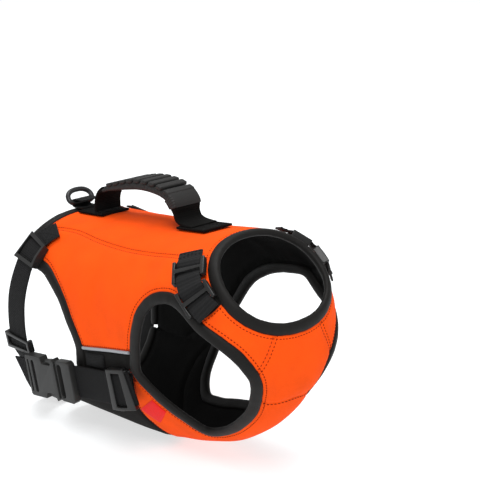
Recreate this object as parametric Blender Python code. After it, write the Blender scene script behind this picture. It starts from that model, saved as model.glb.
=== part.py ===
"""Dog vest of orange neoprene laminate, filled out as it is worn, with no wearer.

The body is a run of rings that fan out from the rear hem to the tilted neck opening. Each
cut piece is a patch of that body between named edges, as thick as the laminate. Bindings
follow the patches' edges, and webbing, sliders and the handle lie on the patches, moved out.

Sizes are millimetres, and make_solid turns them into metres. The vest's left side is +X,
its neck end faces -Y and +Z is up. The origin lies on the lining under the middle of the
back, where the dog's back carries the vest. A place on the body is a station, 0 at the rear
hem and 1 at the neck, and an angle in degrees round the ring from the middle of the back.
"""
import math

import bmesh
import bpy
import numpy as np
from mathutils.geometry import delaunay_2d_cdt

METRES = 0.001
RIGHT, LEFT = -1, 1

# Cloth and seams
FLAT_SCALE = np.array((250.0, 1.2))
CLOTH_CELL = 13.0
WALL = 3.0
SEAM_GAP = 0.4
BINDING_WIDTH = 9.6
BINDING_PROUD = 1.5
BINDING_DEPTH = 6.0
STEP_ALONG_EDGE = 6.0

# Webbing and hardware
WEBBING = 1.8
STRAP_WIDTH = 25.0
SHOULDER_STRAP_WIDTH = 21.0
BELT_WIDTH = 30.0
BELT_THICK = 2.0
CLEAR = 0.3
SLIDER_BAR = 3.0
SLIDER_THICK = 2.0
HANDLE_WIDTH = 29.0
RING_WIRE = 4.6
RING_WIDTH = 30.0
RING_HEIGHT = 18.5

BODY = (
    # station, top ahead, top up, bottom ahead, bottom up, half width, squareness, taper
    (0.00, -110, -11.0, -112, -189, 74, 2.50, 0.10),
    (0.25, -56, -4.5, -44, -191, 73, 2.35, 0.18),
    (0.50, 0, 3.0, 38, -188, 69, 2.15, 0.34),
    (0.70, 44, 7.8, 111, -165, 67, 2.10, 0.40),
    (0.85, 76, 12.5, 163, -122, 68, 2.15, 0.26),
    (0.93, 92, 15.0, 181, -85, 68, 2.20, 0.10),
    (1.00, 105, 17.0, 177, -49, 57, 2.15, 0.00),
)

# Edges of the cloth: mark, station, and angle to the dog's left of the back's middle line
BACK_SEAM = ((0.02, 31.5), (0.10, 29.5), (0.20, 28.5), (0.37, 31), (0.54, 32.5), (0.71, 32.5),
             (0.86, 35.5), (1.0, 47))
LEG_HOLE_RIGHT = (
    ("gusset_rear", 0.900, -72),
    ("gusset_front", 0.922, -87),
    ("", 0.946, -106),
    ("", 0.952, -123),
    ("chest_seam", 0.930, -140),
    ("bottom_seam", 0.868, -148.5),
    ("", 0.790, -152),
    ("", 0.710, -154.5),
    ("", 0.650, -149.5),
    ("", 0.618, -134.5),
    ("", 0.572, -116),
    ("wing", 0.548, -101),
    ("piping", 0.579, -90.4),
    ("", 0.632, -76),
    ("", 0.690, -64.5),
    ("", 0.770, -58),
    ("", 0.850, -60.5),
)
LEG_HOLE_LEFT = (
    ("gusset_rear", 0.885, 71),
    ("gusset_front", 0.906, 86),
    ("", 0.928, 103),
    ("", 0.941, 122),
    ("chest_seam", 0.930, 145),
    ("bottom_seam", 0.868, 152),
    ("", 0.790, 150),
    ("", 0.700, 145),
    ("", 0.610, 142),
    ("", 0.520, 143),
    ("", 0.455, 141),
    ("", 0.415, 130),
    ("wing", 0.428, 108),
    ("piping", 0.466, 94),
    ("", 0.522, 80),
    ("", 0.590, 69),
    ("", 0.680, 62.5),
    ("", 0.790, 62),
)
REAR_EDGE = (
    ("right_end", 0.324, -107),
    ("right_band", 0.351, -94),
    ("", 0.330, -79),
    ("", 0.295, -67.5),
    ("", 0.235, -59),
    ("", 0.165, -53),
    ("", 0.100, -51),
    ("", 0.040, -48.5),
    ("", 0.015, -40),
    ("right_seam", 0.020, -31.5),
    ("", 0.020, -16),
    ("", 0.020, 0),
    ("", 0.020, 16),
    ("left_seam", 0.020, 31.5),
    ("", 0.015, 40),
    ("", 0.030, 50),
    ("", 0.052, 64),
    ("", 0.066, 82),
    ("", 0.082, 100),
    ("left_pad", 0.105, 114),
)
PAD_EDGE = (
    ("right_wing", 0.548, -101),
    ("", 0.520, -108.4),
    ("", 0.460, -111),
    ("", 0.370, -115.5),
    ("", 0.290, -122),
    ("", 0.205, -132),
    ("", 0.140, -141),
    ("right_rear", 0.105, -148),
    ("", 0.100, -165),
    ("", 0.100, -180),
    ("", 0.100, -205),
    ("", 0.105, -228),
    ("left_rear", 0.105, -246),
)
WING_EDGE = (
    ("right", 0.548, -101),
    ("", 0.513, -113),
    ("", 0.475, -130),
    ("", 0.480, -145),
    ("", 0.480, -165),
    ("", 0.455, -185),
    ("", 0.400, -205),
    ("", 0.350, -225),
    ("", 0.365, -240),
    ("left", 0.428, -252),
)
NECK_TIP, NECK_GUSSET, NECK_SEAM = 85.0, 97.0, 155.0
BOTTOM_SEAM = ((0.868, -148.5), (0.886, -180), (0.868, -208))
PIPING_RIGHT = ((0.351, -94), (0.46, -91.4), (0.579, -90.4))
BAND_EDGE_RIGHT = ((0.322, -107), (0.43, -103.5), (0.548, -101))
PIPING_LEFT = ((0.275, 113.2), (0.325, 107), (0.385, 98.5), (0.466, 94))
LOWER_EDGE_LEFT = ((0.105, 114), (0.19, 114.5), (0.275, 113.2))
BAND_EDGE_LEFT = ((0.275, 113.2), (0.36, 111), (0.428, 108))

# Webbing runs, each row a station, an angle and the height above the body
SHOULDER_ROUTE = ((0.928, 37, 2.6), (0.938, 46, 2.7), (0.941, 56, 3.2), (0.945, 67, 4.2),
                  (0.952, 78, 4.4), (0.962, 92, 3.6))
SHOULDER_SLIDERS = (53.5, 76.0)
GIRTH_ROUTE = ((0.108, -31.5, 2.3), (0.09, -36, 2.4), (0.064, -47, 3.8), (0.045, -62, 4.2),
               (0.015, -80, 4.0), (-0.002, -98, 3.2), (-0.004, -109.5, 2.4), (0.0, -115, 0.7),
               (0.0, -122, 0.5),
               (-0.03, -138, 0.6), (-0.035, -151, 7), (-0.04, -166, 7), (-0.04, -180, 4),
               (-0.04, -200, 5), (-0.03, -218, 9), (-0.02, -233, 8), (-0.005, -247, 5),
               (0.008, -258, 4.2),
               (0.02, -280, 4.2), (0.03, -298, 4.2), (0.05, -313, 3.8), (0.085, -324, 2.4),
               (0.108, -328.5, 2.3))
GIRTH_SLIDERS = {"rear_slider_right": -48.5, "rear_slider_left": -311.5}
CORNER_RIGHT, CORNER_LEFT = -104.8, -258.5
BELT_ROUTE = ((0.545, -109.0, 5.4), (0.53, -109.1, 7.6), (0.505, -109.2, 9.0),
              (0.453, -109.4, 9.4), (0.366, -110.6, 9.4),
              (0.254, -113.5, 9.8), (0.127, -116, 10.6), (0.06, -117.4, 11.2),
              (-0.02, -118.6, 11.2), (-0.12, -119, 11.2))
BELT_UPRIGHT = 0.8
BELT_SLIDER_AT = 0.503
BUCKLE_REAR = 0.081
BUCKLE_WIDTH = 39.0
BUCKLE_LENGTH = 63.0
SOCKET_LENGTH = 42.0
BELT_TAIL_CORNERS = ((0.4, 13), (24, 12.5), (13, -10), (9, -16), (0.4, -16))
KEEPER_CORNERS = ((0.366, -95.8), (0.452, -94.4), (0.432, -102.5), (0.35, -104))
LABEL_CORNERS = ((0.562, -118.5), (0.583, -126.5), (0.52, -138), (0.487, -127))
PATCH_LEFT_CORNERS = ((0.36, 84), (0.455, 84), (0.422, 105), (0.335, 105))

# The handle in the middle plane, each row ahead, up and thickness
HANDLE_ROUTE = ((-73.5, -3.2, 3.0), (-72.8, 8, 3.0), (-69, 15.3, 3.4), (-60, 20.8, 5.5),
                (-44, 26.3, 7.5), (-28.5, 30.8, 8.8), (-12, 34.4, 9.4), (6, 35.6, 9.6),
                (21, 34.0, 9.4), (30, 30.5, 9.0), (35.2, 24.8, 8.4), (37.3, 18.5, 3.0),
                (39.6, 14.2, 3.0), (44.5, 12.4, 3.0))
GRIP_REAR, GRIP_FRONT = -63.0, 35.6
GRIP_WIDTH = 30.0
TAB_WIDTH, TAB_THICK = 31.0, 2.0
TAB_FRONT, TAB_REAR = (42.0, 77.5), (-97.3, -62.0)
RING_AXIS_AHEAD, RING_AXIS_LIFT = -112.0, 6.4
RING_LEAN = math.radians(132)
RING_WEBBING = 1.2


def smooth(keys, rows, at):
    """The rows of a table as a smooth curve through its keys, straight on past the ends."""
    keys, rows, at = np.asarray(keys, float), np.asarray(rows, float), np.asarray(at, float)
    gaps = np.diff(keys)
    chords = np.diff(rows, axis=0) / gaps[:, None]
    slopes = np.empty_like(rows)
    slopes[0], slopes[-1] = chords[0], chords[-1]
    before, after = gaps[:-1, None], gaps[1:, None]
    slopes[1:-1] = (chords[:-1] * after + chords[1:] * before) / (before + after)
    held = np.clip(at, keys[0], keys[-1])
    i = np.clip(np.searchsorted(keys, held, side="right") - 1, 0, len(gaps) - 1)
    gap = gaps[i][..., None]
    u = (held - keys[i])[..., None] / gap
    curve = rows[i] * (1 + 2 * u) * (1 - u) ** 2 + rows[i + 1] * u ** 2 * (3 - 2 * u)
    curve += gap * (slopes[i] * u * (1 - u) ** 2 - slopes[i + 1] * u ** 2 * (1 - u))
    end_slope = np.where((at > keys[-1])[..., None], slopes[-1], slopes[0])
    return curve + (at - held)[..., None] * end_slope


def body(station, angle):
    """Points of the body's outer face."""
    station, angle = np.broadcast_arrays(np.asarray(station, float), np.radians(angle))
    table = np.array(BODY)
    row = smooth(table[:, 0], table[:, 1:], station)
    top, bottom = row[..., 0:2], row[..., 2:4]
    half_width, squareness, taper = row[..., 4], row[..., 5], row[..., 6]
    across, down = np.sin(angle), np.cos(angle)
    reach = (np.abs(across) ** squareness + np.abs(down) ** squareness) ** (-1 / squareness)
    across, down = across * reach, (down * reach)[..., None]
    middle = (top + bottom) / 2 + (top - bottom) / 2 * down
    side = half_width * across * (1 + taper * down[..., 0])
    return np.stack([side, -middle[..., 0], middle[..., 1]], -1)


def unit(vectors):
    return vectors / np.linalg.norm(vectors, axis=-1, keepdims=True)


def outward(station, angle):
    """Unit normals of the body that point out of it."""
    station, angle = np.asarray(station, float), np.asarray(angle, float)
    ahead = body(station + 1e-3, angle) - body(station - 1e-3, angle)
    round_ring = body(station, angle + 0.1) - body(station, angle - 0.1)
    return unit(np.cross(ahead, round_ring))


def lifted(places, height):
    """Points at a height above the body's outer face."""
    station, angle = places[..., 0], places[..., 1]
    height = np.asarray(height, float)
    height = height[..., None] if height.ndim else height
    return body(station, angle) + outward(station, angle) * height


def run_lengths(rows):
    """How far each row lies along a run of stations and angles, in millimetres."""
    points = body(rows[:, 0], rows[:, 1])
    return np.concatenate([[0], np.cumsum(np.linalg.norm(np.diff(points, axis=0), axis=1))])


def route(rows):
    """A function from 0 to 1 along a smooth curve through rows, even along the body."""
    rows = np.asarray(rows, float)
    keys = run_lengths(rows)
    keys /= keys[-1]
    return lambda u: smooth(keys, rows, u)


def marked_edge(table):
    """An open edge from a table with marks: its path, and where along it each mark lies."""
    rows = np.array([row[1:] for row in table], float)
    keys = run_lengths(rows)
    keys /= keys[-1]
    return (lambda u: smooth(keys, rows, u)), {row[0]: keys[n] for n, row in enumerate(table)}


def marked_loop(table):
    """The same for an edge that closes on itself."""
    rows = np.array([row[1:] for row in table], float)
    closed = np.concatenate([rows[-3:], rows, rows[:4]])
    keys = run_lengths(closed)
    keys = (keys - keys[3]) / (keys[3 + len(rows)] - keys[3])
    return ((lambda u: smooth(keys, closed, np.mod(u, 1.0))),
            {row[0]: keys[3 + n] for n, row in enumerate(table)})


def between(edge, first, last):
    """The part of a marked edge from one mark to another."""
    path, marks = edge
    start, end = marks[first], marks[last]
    return lambda u: path(start + (end - start) * np.asarray(u, float))


def around(edge, first, last):
    """The part of a marked loop from one mark to another, on through its start if need be."""
    path, marks = edge
    start, end = marks[first], marks[last]
    end += 1 if end < start else 0
    return lambda u: path(start + (end - start) * np.asarray(u, float))


def backwards(path):
    return lambda u: path(1 - np.asarray(u, float))


def turned_on(path, degrees):
    """A path whose angles run on by whole turns, to join others past the belly."""
    return lambda u: path(u) + (0, degrees)


def joined(*pieces):
    """One path from several, each given with the share of 0 to 1 at which it ends."""
    ends = np.array([end for _, end in pieces])
    starts = np.concatenate([[0], ends[:-1]])

    def path(u):
        u = np.atleast_1d(np.asarray(u, float))
        out = np.empty(u.shape + (2,))
        which = np.clip(np.searchsorted(ends, u - 1e-9), 0, len(ends) - 1)
        for n, (piece, _) in enumerate(pieces):
            mine = which == n
            out[mine] = piece((u[mine] - starts[n]) / (ends[n] - starts[n]))
        return out
    return path


LEG_EDGE = {RIGHT: marked_loop(LEG_HOLE_RIGHT), LEFT: marked_loop(LEG_HOLE_LEFT)}
LEG_CELLS = (
    ("gusset_rear", "gusset_front", 2),
    ("gusset_front", "chest_seam", 10),
    ("chest_seam", "bottom_seam", 4),
    ("bottom_seam", "wing", 16),
    ("wing", "piping", 2),
    ("piping", "gusset_rear", 14),
)


def neck_arc(start, end):
    return lambda u: np.stack([np.ones_like(u), start + (end - start) * np.asarray(u, float)], -1)


def patch(first, last, start, end, across, along):
    """Places on the body filled in between four edges.

    first and last run across, start and end run along and join their ends.
    """
    u, v = np.linspace(0, 1, across + 1), np.linspace(0, 1, along + 1)
    low, high = first(u)[:, None], last(u)[:, None]
    near, far = start(v)[None], end(v)[None]
    u, v = u[:, None, None], v[None, :, None]
    corners = ((1 - u) * (1 - v) * low[0] + u * (1 - v) * low[-1]
               + (1 - u) * v * high[0] + u * v * high[-1])
    return (1 - v) * low + v * high + (1 - u) * near + u * far - corners


def drawn_in(points, normals, distance):
    """A grid of points with its four edges moved inwards by a distance."""
    moved = points.copy()
    for edge, inner in (((0, slice(None)), (1, slice(None))),
                        ((-1, slice(None)), (-2, slice(None))),
                        ((slice(None), 0), (slice(None), 1)),
                        ((slice(None), -1), (slice(None), -2))):
        line = points[edge]
        inward = unit(np.cross(normals[edge], np.gradient(line, axis=0)))
        if ((points[inner] - line) * inward).sum() < 0:
            inward = -inward
        moved[edge] += inward * distance
    return moved


ORANGE = (0.94, 0.12, 0.015)
BLACK_CLOTH = (0.022, 0.022, 0.022)
WEBBING_BLACK = (0.028, 0.028, 0.028)
PLASTIC = (0.06, 0.06, 0.06)
REFLECTIVE = (0.35, 0.35, 0.36)
LABEL_RED = (0.75, 0.02, 0.02)
RING_METAL = (0.09, 0.09, 0.09)


def make_material(name, colour, roughness, metallic):
    material = bpy.data.materials.new(name)
    material.use_nodes = True
    shader = material.node_tree.nodes["Principled BSDF"]
    shader.inputs["Base Color"].default_value = (*colour, 1)
    shader.inputs["Roughness"].default_value = roughness
    shader.inputs["Metallic"].default_value = metallic
    return material


def make_solid(name, vertices, faces, colour, roughness=0.8, metallic=0.0, smooth_angle=None,
               origin=(0.0, 0.0, 0.0)):
    """One closed mesh object, its vertices and origin given in millimetres."""
    origin = np.array(origin, float)
    mesh = bpy.data.meshes.new(name)
    placed = (np.asarray(vertices, float) - origin) * METRES
    mesh.from_pydata([tuple(map(float, v)) for v in placed], [], faces)
    work = bmesh.new()
    work.from_mesh(mesh)
    bmesh.ops.recalc_face_normals(work, faces=work.faces)
    bmesh.ops.triangulate(work, faces=work.faces)
    work.to_mesh(mesh)
    work.free()
    if smooth_angle:
        mesh.shade_smooth()
        mesh.set_sharp_from_angle(angle=math.radians(smooth_angle))
    thing = bpy.data.objects.new(name, mesh)
    thing.location = tuple(map(float, origin * METRES))
    bpy.context.scene.collection.objects.link(thing)
    mesh.materials.append(make_material(name, colour, roughness, metallic))
    return thing


def sheet_solid(name, outer, inner, colour, roughness=0.8):
    """A closed wall between two grids of points of the same shape."""
    across, along = outer.shape[:2]
    count = across * along
    vertices = np.concatenate([outer.reshape(-1, 3), inner.reshape(-1, 3)])

    def at(i, j, layer):
        return layer * count + i * along + j

    faces = []
    for i in range(across - 1):
        for j in range(along - 1):
            for layer in (0, 1):
                faces.append((at(i, j, layer), at(i + 1, j, layer), at(i + 1, j + 1, layer),
                              at(i, j + 1, layer)))
    rim = [(i, 0) for i in range(across)] + [(across - 1, j) for j in range(1, along)]
    rim += [(i, along - 1) for i in range(across - 2, -1, -1)]
    rim += [(0, j) for j in range(along - 2, 0, -1)]
    for here, there in zip(rim, rim[1:] + rim[:1]):
        faces.append((at(*here, 0), at(*there, 0), at(*there, 1), at(*here, 1)))
    return make_solid(name, vertices, faces, colour, roughness, smooth_angle=40)


def mitred(points, normals, distance):
    """A closed line of points moved inwards, to the left of its course seen from outside."""
    ahead = unit(np.roll(points, -1, axis=0) - points)
    before, after = unit(np.cross(normals, np.roll(ahead, 1, axis=0))), unit(np.cross(normals, ahead))
    shared = 1 + (before * after).sum(1, keepdims=True)
    return points + (before + after) / np.maximum(shared, 0.3) * distance


def inside_outline(point, outline):
    """Whether a flat point lies inside a flat closed outline."""
    x, y = outline[:, 0], outline[:, 1]
    following_x, following_y = np.roll(x, -1), np.roll(y, -1)
    spans = (y > point[1]) != (following_y > point[1])
    with np.errstate(divide="ignore", invalid="ignore"):
        crossing = x + (point[1] - y) * (following_x - x) / (following_y - y)
    return np.count_nonzero(spans & (crossing > point[0])) % 2 == 1


def outlined_piece(name, outline, colour, spacing=CLOTH_CELL):
    """A piece of cloth inside a closed outline of places, of any shape."""
    flat = outline * FLAT_SCALE
    area = 0.5 * (flat[:, 0] * np.roll(flat[:, 1], -1) - np.roll(flat[:, 0], -1) * flat[:, 1]).sum()
    if area < 0:
        outline, flat = outline[::-1], flat[::-1]
    low, high = flat.min(axis=0), flat.max(axis=0)
    lines = [np.arange(a + spacing / 2, b, spacing) for a, b in zip(low, high)]
    inner = [np.array((x, y)) for x in lines[0] for y in lines[1]]
    inner = [p for p in inner if inside_outline(p, flat)
             and np.linalg.norm(flat - p, axis=1).min() > 0.55 * spacing]
    every = np.concatenate([flat, np.reshape(inner, (-1, 2))])
    count = len(flat)
    loop = [list(range(count))]
    made = delaunay_2d_cdt([tuple(map(float, p)) for p in every], [], loop, 1, 1e-6)
    corners, triangles = np.array([tuple(v) for v in made[0]]), made[2]
    order = {old: new for new, olds in enumerate(made[3]) for old in olds}
    rim = [order[n] for n in range(count)]
    places = corners / FLAT_SCALE
    normals = outward(places[:, 0], places[:, 1])
    outer = body(places[:, 0], places[:, 1])
    outer[rim] = mitred(outer[rim], normals[rim], SEAM_GAP / 2)
    total = len(outer)
    faces = [tuple(t) for t in triangles] + [tuple(n + total for n in t) for t in triangles]
    faces += [(a, b, b + total, a + total) for a, b in zip(rim, rim[1:] + rim[:1])]
    return make_solid(name, np.concatenate([outer, outer - normals * WALL]), faces, colour,
                      smooth_angle=40)


def cut_piece(name, places, colour, height=0.0, wall=WALL):
    """A piece of cloth over a grid of places on the body, its face at a height above it."""
    normals = outward(places[..., 0], places[..., 1])
    outer = drawn_in(body(places[..., 0], places[..., 1]), normals, SEAM_GAP / 2)
    return sheet_solid(name, outer + normals * height, outer + normals * (height - wall), colour)


def sweep(name, centres, side_axes, up_axes, section, closed, colour, **finish):
    """A section of side and up distances carried along centres, one section or one for each."""
    count = len(centres)
    section = np.broadcast_to(np.asarray(section, float), (count,) + np.shape(section)[-2:])
    size = section.shape[1]
    vertices = (centres[:, None] + side_axes[:, None] * section[..., :1]
                + up_axes[:, None] * section[..., 1:]).reshape(-1, 3)
    faces = []
    for i in range(count if closed else count - 1):
        following = (i + 1) % count
        for j in range(size):
            k = (j + 1) % size
            faces.append((i * size + j, following * size + j, following * size + k, i * size + k))
    if not closed:
        faces.append(tuple(range(size)))
        faces.append(tuple(range((count - 1) * size, count * size)))
    return make_solid(name, vertices, faces, colour, **finish)


def tangents(points, closed):
    if closed:
        return unit(np.roll(points, -1, axis=0) - np.roll(points, 1, axis=0))
    return unit(np.gradient(points, axis=0))


BINDING_SECTION = (
    # out from the edge, above the body
    (0.0, 0.1), (1.8, BINDING_PROUD), (BINDING_WIDTH - 2.2, BINDING_PROUD),
    (BINDING_WIDTH, BINDING_PROUD - BINDING_DEPTH / 2),
    (BINDING_WIDTH - 2.2, BINDING_PROUD - BINDING_DEPTH), (1.8, BINDING_PROUD - BINDING_DEPTH),
    (0.0, -WALL - 0.1),
)


def binding(name, places, towards, closed=False):
    """A padded binding beside the edge that runs through places.

    towards is a place on the side of the edge that the binding lies on.
    """
    points = body(places[:, 0], places[:, 1])
    normals = outward(places[:, 0], places[:, 1])
    along = tangents(points, closed)
    aside = unit(np.cross(normals, along))
    goal = body(*towards)
    nearest = np.argmin(np.linalg.norm(points - goal, axis=1))
    if (aside[nearest] * (goal - points[nearest])).sum() < 0:
        aside = -aside
    shifted = [(x + SEAM_GAP / 2, y) for x, y in BINDING_SECTION]
    return sweep(name, points, aside, normals, shifted, closed, BLACK_CLOTH, roughness=0.85,
                 smooth_angle=50)


def cells(path, count, start=0.0, end=1.0):
    """Places at the ends of a path's equal cells, without the last one."""
    return path(np.linspace(start, end, count + 1)[:-1])


class Run:
    """A webbing's course over the body, by the distance along it.

    upright is the share of the body's overhang that the webbing's face doesn't follow.
    """

    def __init__(self, rows, upright=0.0):
        self.rows = np.array(rows, float)
        self.upright = upright
        self.keys = run_lengths(self.rows)
        self.length = self.keys[-1]

    def centre(self, distance):
        row = smooth(self.keys, self.rows, distance)
        return lifted(row[..., :2], row[..., 2])

    def frame(self, distance):
        """The course's point at a distance, and the axes along it, across it and out."""
        distance = np.asarray(distance, float)
        row = smooth(self.keys, self.rows, distance)
        along = unit(self.centre(distance + 0.5) - self.centre(distance - 0.5))
        out = outward(row[..., 0], row[..., 1]) * (1, 1, 1 - self.upright)
        out = unit(out - along * (out * along).sum(-1, keepdims=True))
        return self.centre(distance), along, np.cross(along, out), out

    def where(self, column, value):
        """The distance at which the station, column 0, or the angle, column 1, has a value."""
        tried = np.linspace(0, self.length, 801)
        found = smooth(self.keys, self.rows, tried)[:, column]
        return float(tried[np.argmin(np.abs(found - value))])


def ribbon(name, run, start, end, width, thick, colour=WEBBING_BLACK, step=8.0):
    """A flat strap along part of a run."""
    steps = max(3, round((end - start) / step))
    centres, _, aside, out = run.frame(np.linspace(start, end, steps + 1))
    half = width / 2
    section = ((-half, 0), (half, 0), (half, thick), (-half, thick))
    return sweep(name, centres, aside, out, section, False, colour)


def lattice(name, place, columns, rows, levels, filled, colour=PLASTIC, **finish):
    """A body of the filled cells between lines of columns, rows and levels.

    place turns a column, a row and a level into a point.
    """
    size = (len(columns) - 1, len(rows) - 1, len(levels) - 1)

    def solid(cell):
        return all(0 <= c < n for c, n in zip(cell, size)) and filled(*cell)

    numbers, faces = {}, []

    def number(corner):
        return numbers.setdefault(corner, len(numbers))

    for i in range(size[0]):
        for j in range(size[1]):
            for k in range(size[2]):
                if not solid((i, j, k)):
                    continue
                for axis in range(3):
                    for side in (0, 1):
                        beside = [i, j, k]
                        beside[axis] += 2 * side - 1
                        if solid(tuple(beside)):
                            continue
                        a, b = [n for n in range(3) if n != axis]
                        ring = []
                        for da, db in ((0, 0), (1, 0), (1, 1), (0, 1)):
                            corner = [i, j, k]
                            corner[axis] += side
                            corner[a] += da
                            corner[b] += db
                            ring.append(number(tuple(corner)))
                        faces.append(tuple(ring))
    vertices = [place(columns[i], rows[j], levels[k]) for i, j, k in numbers]
    return make_solid(name, vertices, faces, colour, roughness=0.45, **finish)


def on_run(run, at):
    """How a body's column, row and level lie on a run: across it, along it and above it."""
    def place(column, row, level):
        centre, _, aside, out = run.frame(at + row)
        return centre + aside * column + out * level
    return place


def slider(name, run, at, width=STRAP_WIDTH, length=20.0, thick=WEBBING, centre_bar=True):
    """A slider whose end bars lie over its webbing and whose centre bar lies under it."""
    half, end = width / 2 + CLEAR + 0.2, length / 2
    columns = (-half - SLIDER_BAR, -half, half, half + SLIDER_BAR)
    rows = (-end, -end + SLIDER_BAR, -SLIDER_BAR / 2, SLIDER_BAR / 2, end - SLIDER_BAR, end)
    levels = (-CLEAR - SLIDER_THICK + 0.4, -CLEAR, thick + CLEAR, thick + CLEAR + SLIDER_THICK)

    def filled(i, j, k):
        if i != 1:
            return True
        return (j in (0, 4) and k == 2) or (centre_bar and j == 2 and k == 0)

    lattice(name, on_run(run, at), columns, rows, levels, filled)


def suffix(side):
    return "right" if side == RIGHT else "left"


def back_seam(side):
    return route([(s, a * side) for s, a in BACK_SEAM])


def tip_edge(side):
    """The edge between the side panel and the shoulder gusset."""
    corner = (LEG_HOLE_RIGHT if side == RIGHT else LEG_HOLE_LEFT)[0][1:]
    return route([corner, (1.0, NECK_TIP * side)])


def gusset_edge(side):
    """The edge between the shoulder gusset and the chest."""
    corner = (LEG_HOLE_RIGHT if side == RIGHT else LEG_HOLE_LEFT)[1][1:]
    return route([corner, (1.0, NECK_GUSSET * side)])


def chest_seam(side):
    """The double seam between a chest side and the chest's middle, from the leg hole up."""
    corner = (LEG_HOLE_RIGHT if side == RIGHT else LEG_HOLE_LEFT)[4][1:]
    return route([corner, (1.0, NECK_SEAM * side)])


def back_panel():
    hem = between(marked_edge(REAR_EDGE), "right_seam", "left_seam")
    angle = BACK_SEAM[-1][1]
    cut_piece("back_panel", patch(back_seam(RIGHT), back_seam(LEFT), hem, neck_arc(-angle, angle),
                                  22, 8), ORANGE)


def side_panel(side):
    """The long panel from the back seam down to the piping, round the top of the leg hole."""
    over_leg = around(LEG_EDGE[side], "piping", "gusset_rear")
    edge = marked_edge(REAR_EDGE)
    if side == RIGHT:
        rear = between(edge, "right_seam", "right_band")
        lower = joined((route(PIPING_RIGHT), 10 / 28), (over_leg, 24 / 28), (tip_edge(side), 1))
    else:
        rear = between(edge, "left_seam", "left_pad")
        lower = joined((route(LOWER_EDGE_LEFT), 5 / 28), (route(PIPING_LEFT), 10 / 28),
                       (over_leg, 24 / 28), (tip_edge(side), 1))
    neck = neck_arc(side * BACK_SEAM[-1][1], side * NECK_TIP)
    places = patch(back_seam(side), lower, rear, neck, 28, 10)
    cut_piece("side_panel_" + suffix(side), places, ORANGE)


def side_band(side):
    """The black band below the piping."""
    front = backwards(around(LEG_EDGE[side], "wing", "piping"))
    if side == RIGHT:
        rear = backwards(between(marked_edge(REAR_EDGE), "right_end", "right_band"))
        places = patch(route(PIPING_RIGHT), route(BAND_EDGE_RIGHT), rear, front, 10, 2)
        cut_piece("side_band_right", places, BLACK_CLOTH)
    else:
        outline = [cells(route(PIPING_LEFT), 5), cells(front, 2),
                   cells(backwards(route(BAND_EDGE_LEFT)), 6)]
        outlined_piece("side_band_left", np.concatenate(outline), BLACK_CLOTH)


def piping(side):
    """The reflective strip raised over the seam above the band."""
    rows = PIPING_RIGHT if side == RIGHT else PIPING_LEFT
    run = Run([(s, a, 0.3) for s, a in rows])
    start, end = (0.04, 0.96) if side == RIGHT else (0.25, 0.92)
    ribbon("reflective_piping_" + suffix(side), run, run.length * start, run.length * end, 2.4, 1.2,
           REFLECTIVE, step=5.0)


def shoulder_gusset(side):
    leg = around(LEG_EDGE[side], "gusset_rear", "gusset_front")
    neck = neck_arc(side * NECK_TIP, side * NECK_GUSSET)
    places = patch(leg, neck, tip_edge(side), gusset_edge(side), 2, 4)
    cut_piece("shoulder_gusset_" + suffix(side), places, BLACK_CLOTH)


def chest_side(side):
    leg = around(LEG_EDGE[side], "gusset_front", "chest_seam")
    neck = neck_arc(side * NECK_GUSSET, side * NECK_SEAM)
    places = patch(leg, neck, gusset_edge(side), chest_seam(side), 10, 4)
    cut_piece("chest_side_" + suffix(side), places, ORANGE)


def chest_centre():
    right = joined((backwards(chest_seam(RIGHT)), 4 / 8),
                   (around(LEG_EDGE[RIGHT], "chest_seam", "bottom_seam"), 1))
    left = joined((backwards(chest_seam(LEFT)), 4 / 8),
                  (around(LEG_EDGE[LEFT], "chest_seam", "bottom_seam"), 1))
    neck = neck_arc(-NECK_SEAM, NECK_SEAM - 360)
    places = patch(neck, route(BOTTOM_SEAM), right, turned_on(left, -360), 12, 8)
    cut_piece("chest_centre", places, ORANGE)


def belly_panel():
    wing = between(marked_edge(WING_EDGE), "right", "left")
    right = around(LEG_EDGE[RIGHT], "bottom_seam", "wing")
    left = turned_on(around(LEG_EDGE[LEFT], "bottom_seam", "wing"), -360)
    outline = [cells(right, 16), cells(wing, 20), cells(backwards(left), 16),
               cells(backwards(route(BOTTOM_SEAM)), 12)]
    outlined_piece("belly_panel", np.concatenate(outline), ORANGE)


def belly_pad():
    wing = between(marked_edge(WING_EDGE), "right", "left")
    edge = marked_edge(PAD_EDGE)
    outline = [cells(wing, 20), cells(turned_on(backwards(route(BAND_EDGE_LEFT)), -360), 6),
               cells(turned_on(backwards(route(LOWER_EDGE_LEFT)), -360), 5),
               cells(backwards(between(edge, "right_rear", "left_rear")), 14),
               cells(backwards(between(edge, "right_wing", "right_rear")), 14)]
    outlined_piece("belly_pad", np.concatenate(outline), BLACK_CLOTH)


def bindings():
    neck = neck_arc(0, 360)
    binding("neck_binding", cells(neck, 40), (1.06, 90), closed=True)
    for side in (RIGHT, LEFT):
        places = [cells(around(LEG_EDGE[side], a, b), n) for a, b, n in LEG_CELLS]
        binding("leg_binding_" + suffix(side), np.concatenate(places), (0.76, 100 * side),
                closed=True)
    edge = marked_edge(REAR_EDGE)
    places = [cells(between(edge, "right_end", "right_band"), 2),
              cells(between(edge, "right_band", "right_seam"), 10),
              cells(between(edge, "right_seam", "left_seam"), 8),
              cells(between(edge, "left_seam", "left_pad"), 10),
              between(edge, "left_seam", "left_pad")(np.array([0.985]))]
    binding("rear_binding", np.concatenate(places), (-0.04, 0))
    edge = marked_edge(PAD_EDGE)
    right = between(edge, "right_wing", "right_rear")
    rear = between(edge, "right_rear", "left_rear")
    places = [cells(right, 14)[1:], cells(rear, 14), rear(np.array([0.985]))]
    binding("belly_binding", np.concatenate(places), (0.02, -180))


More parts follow.
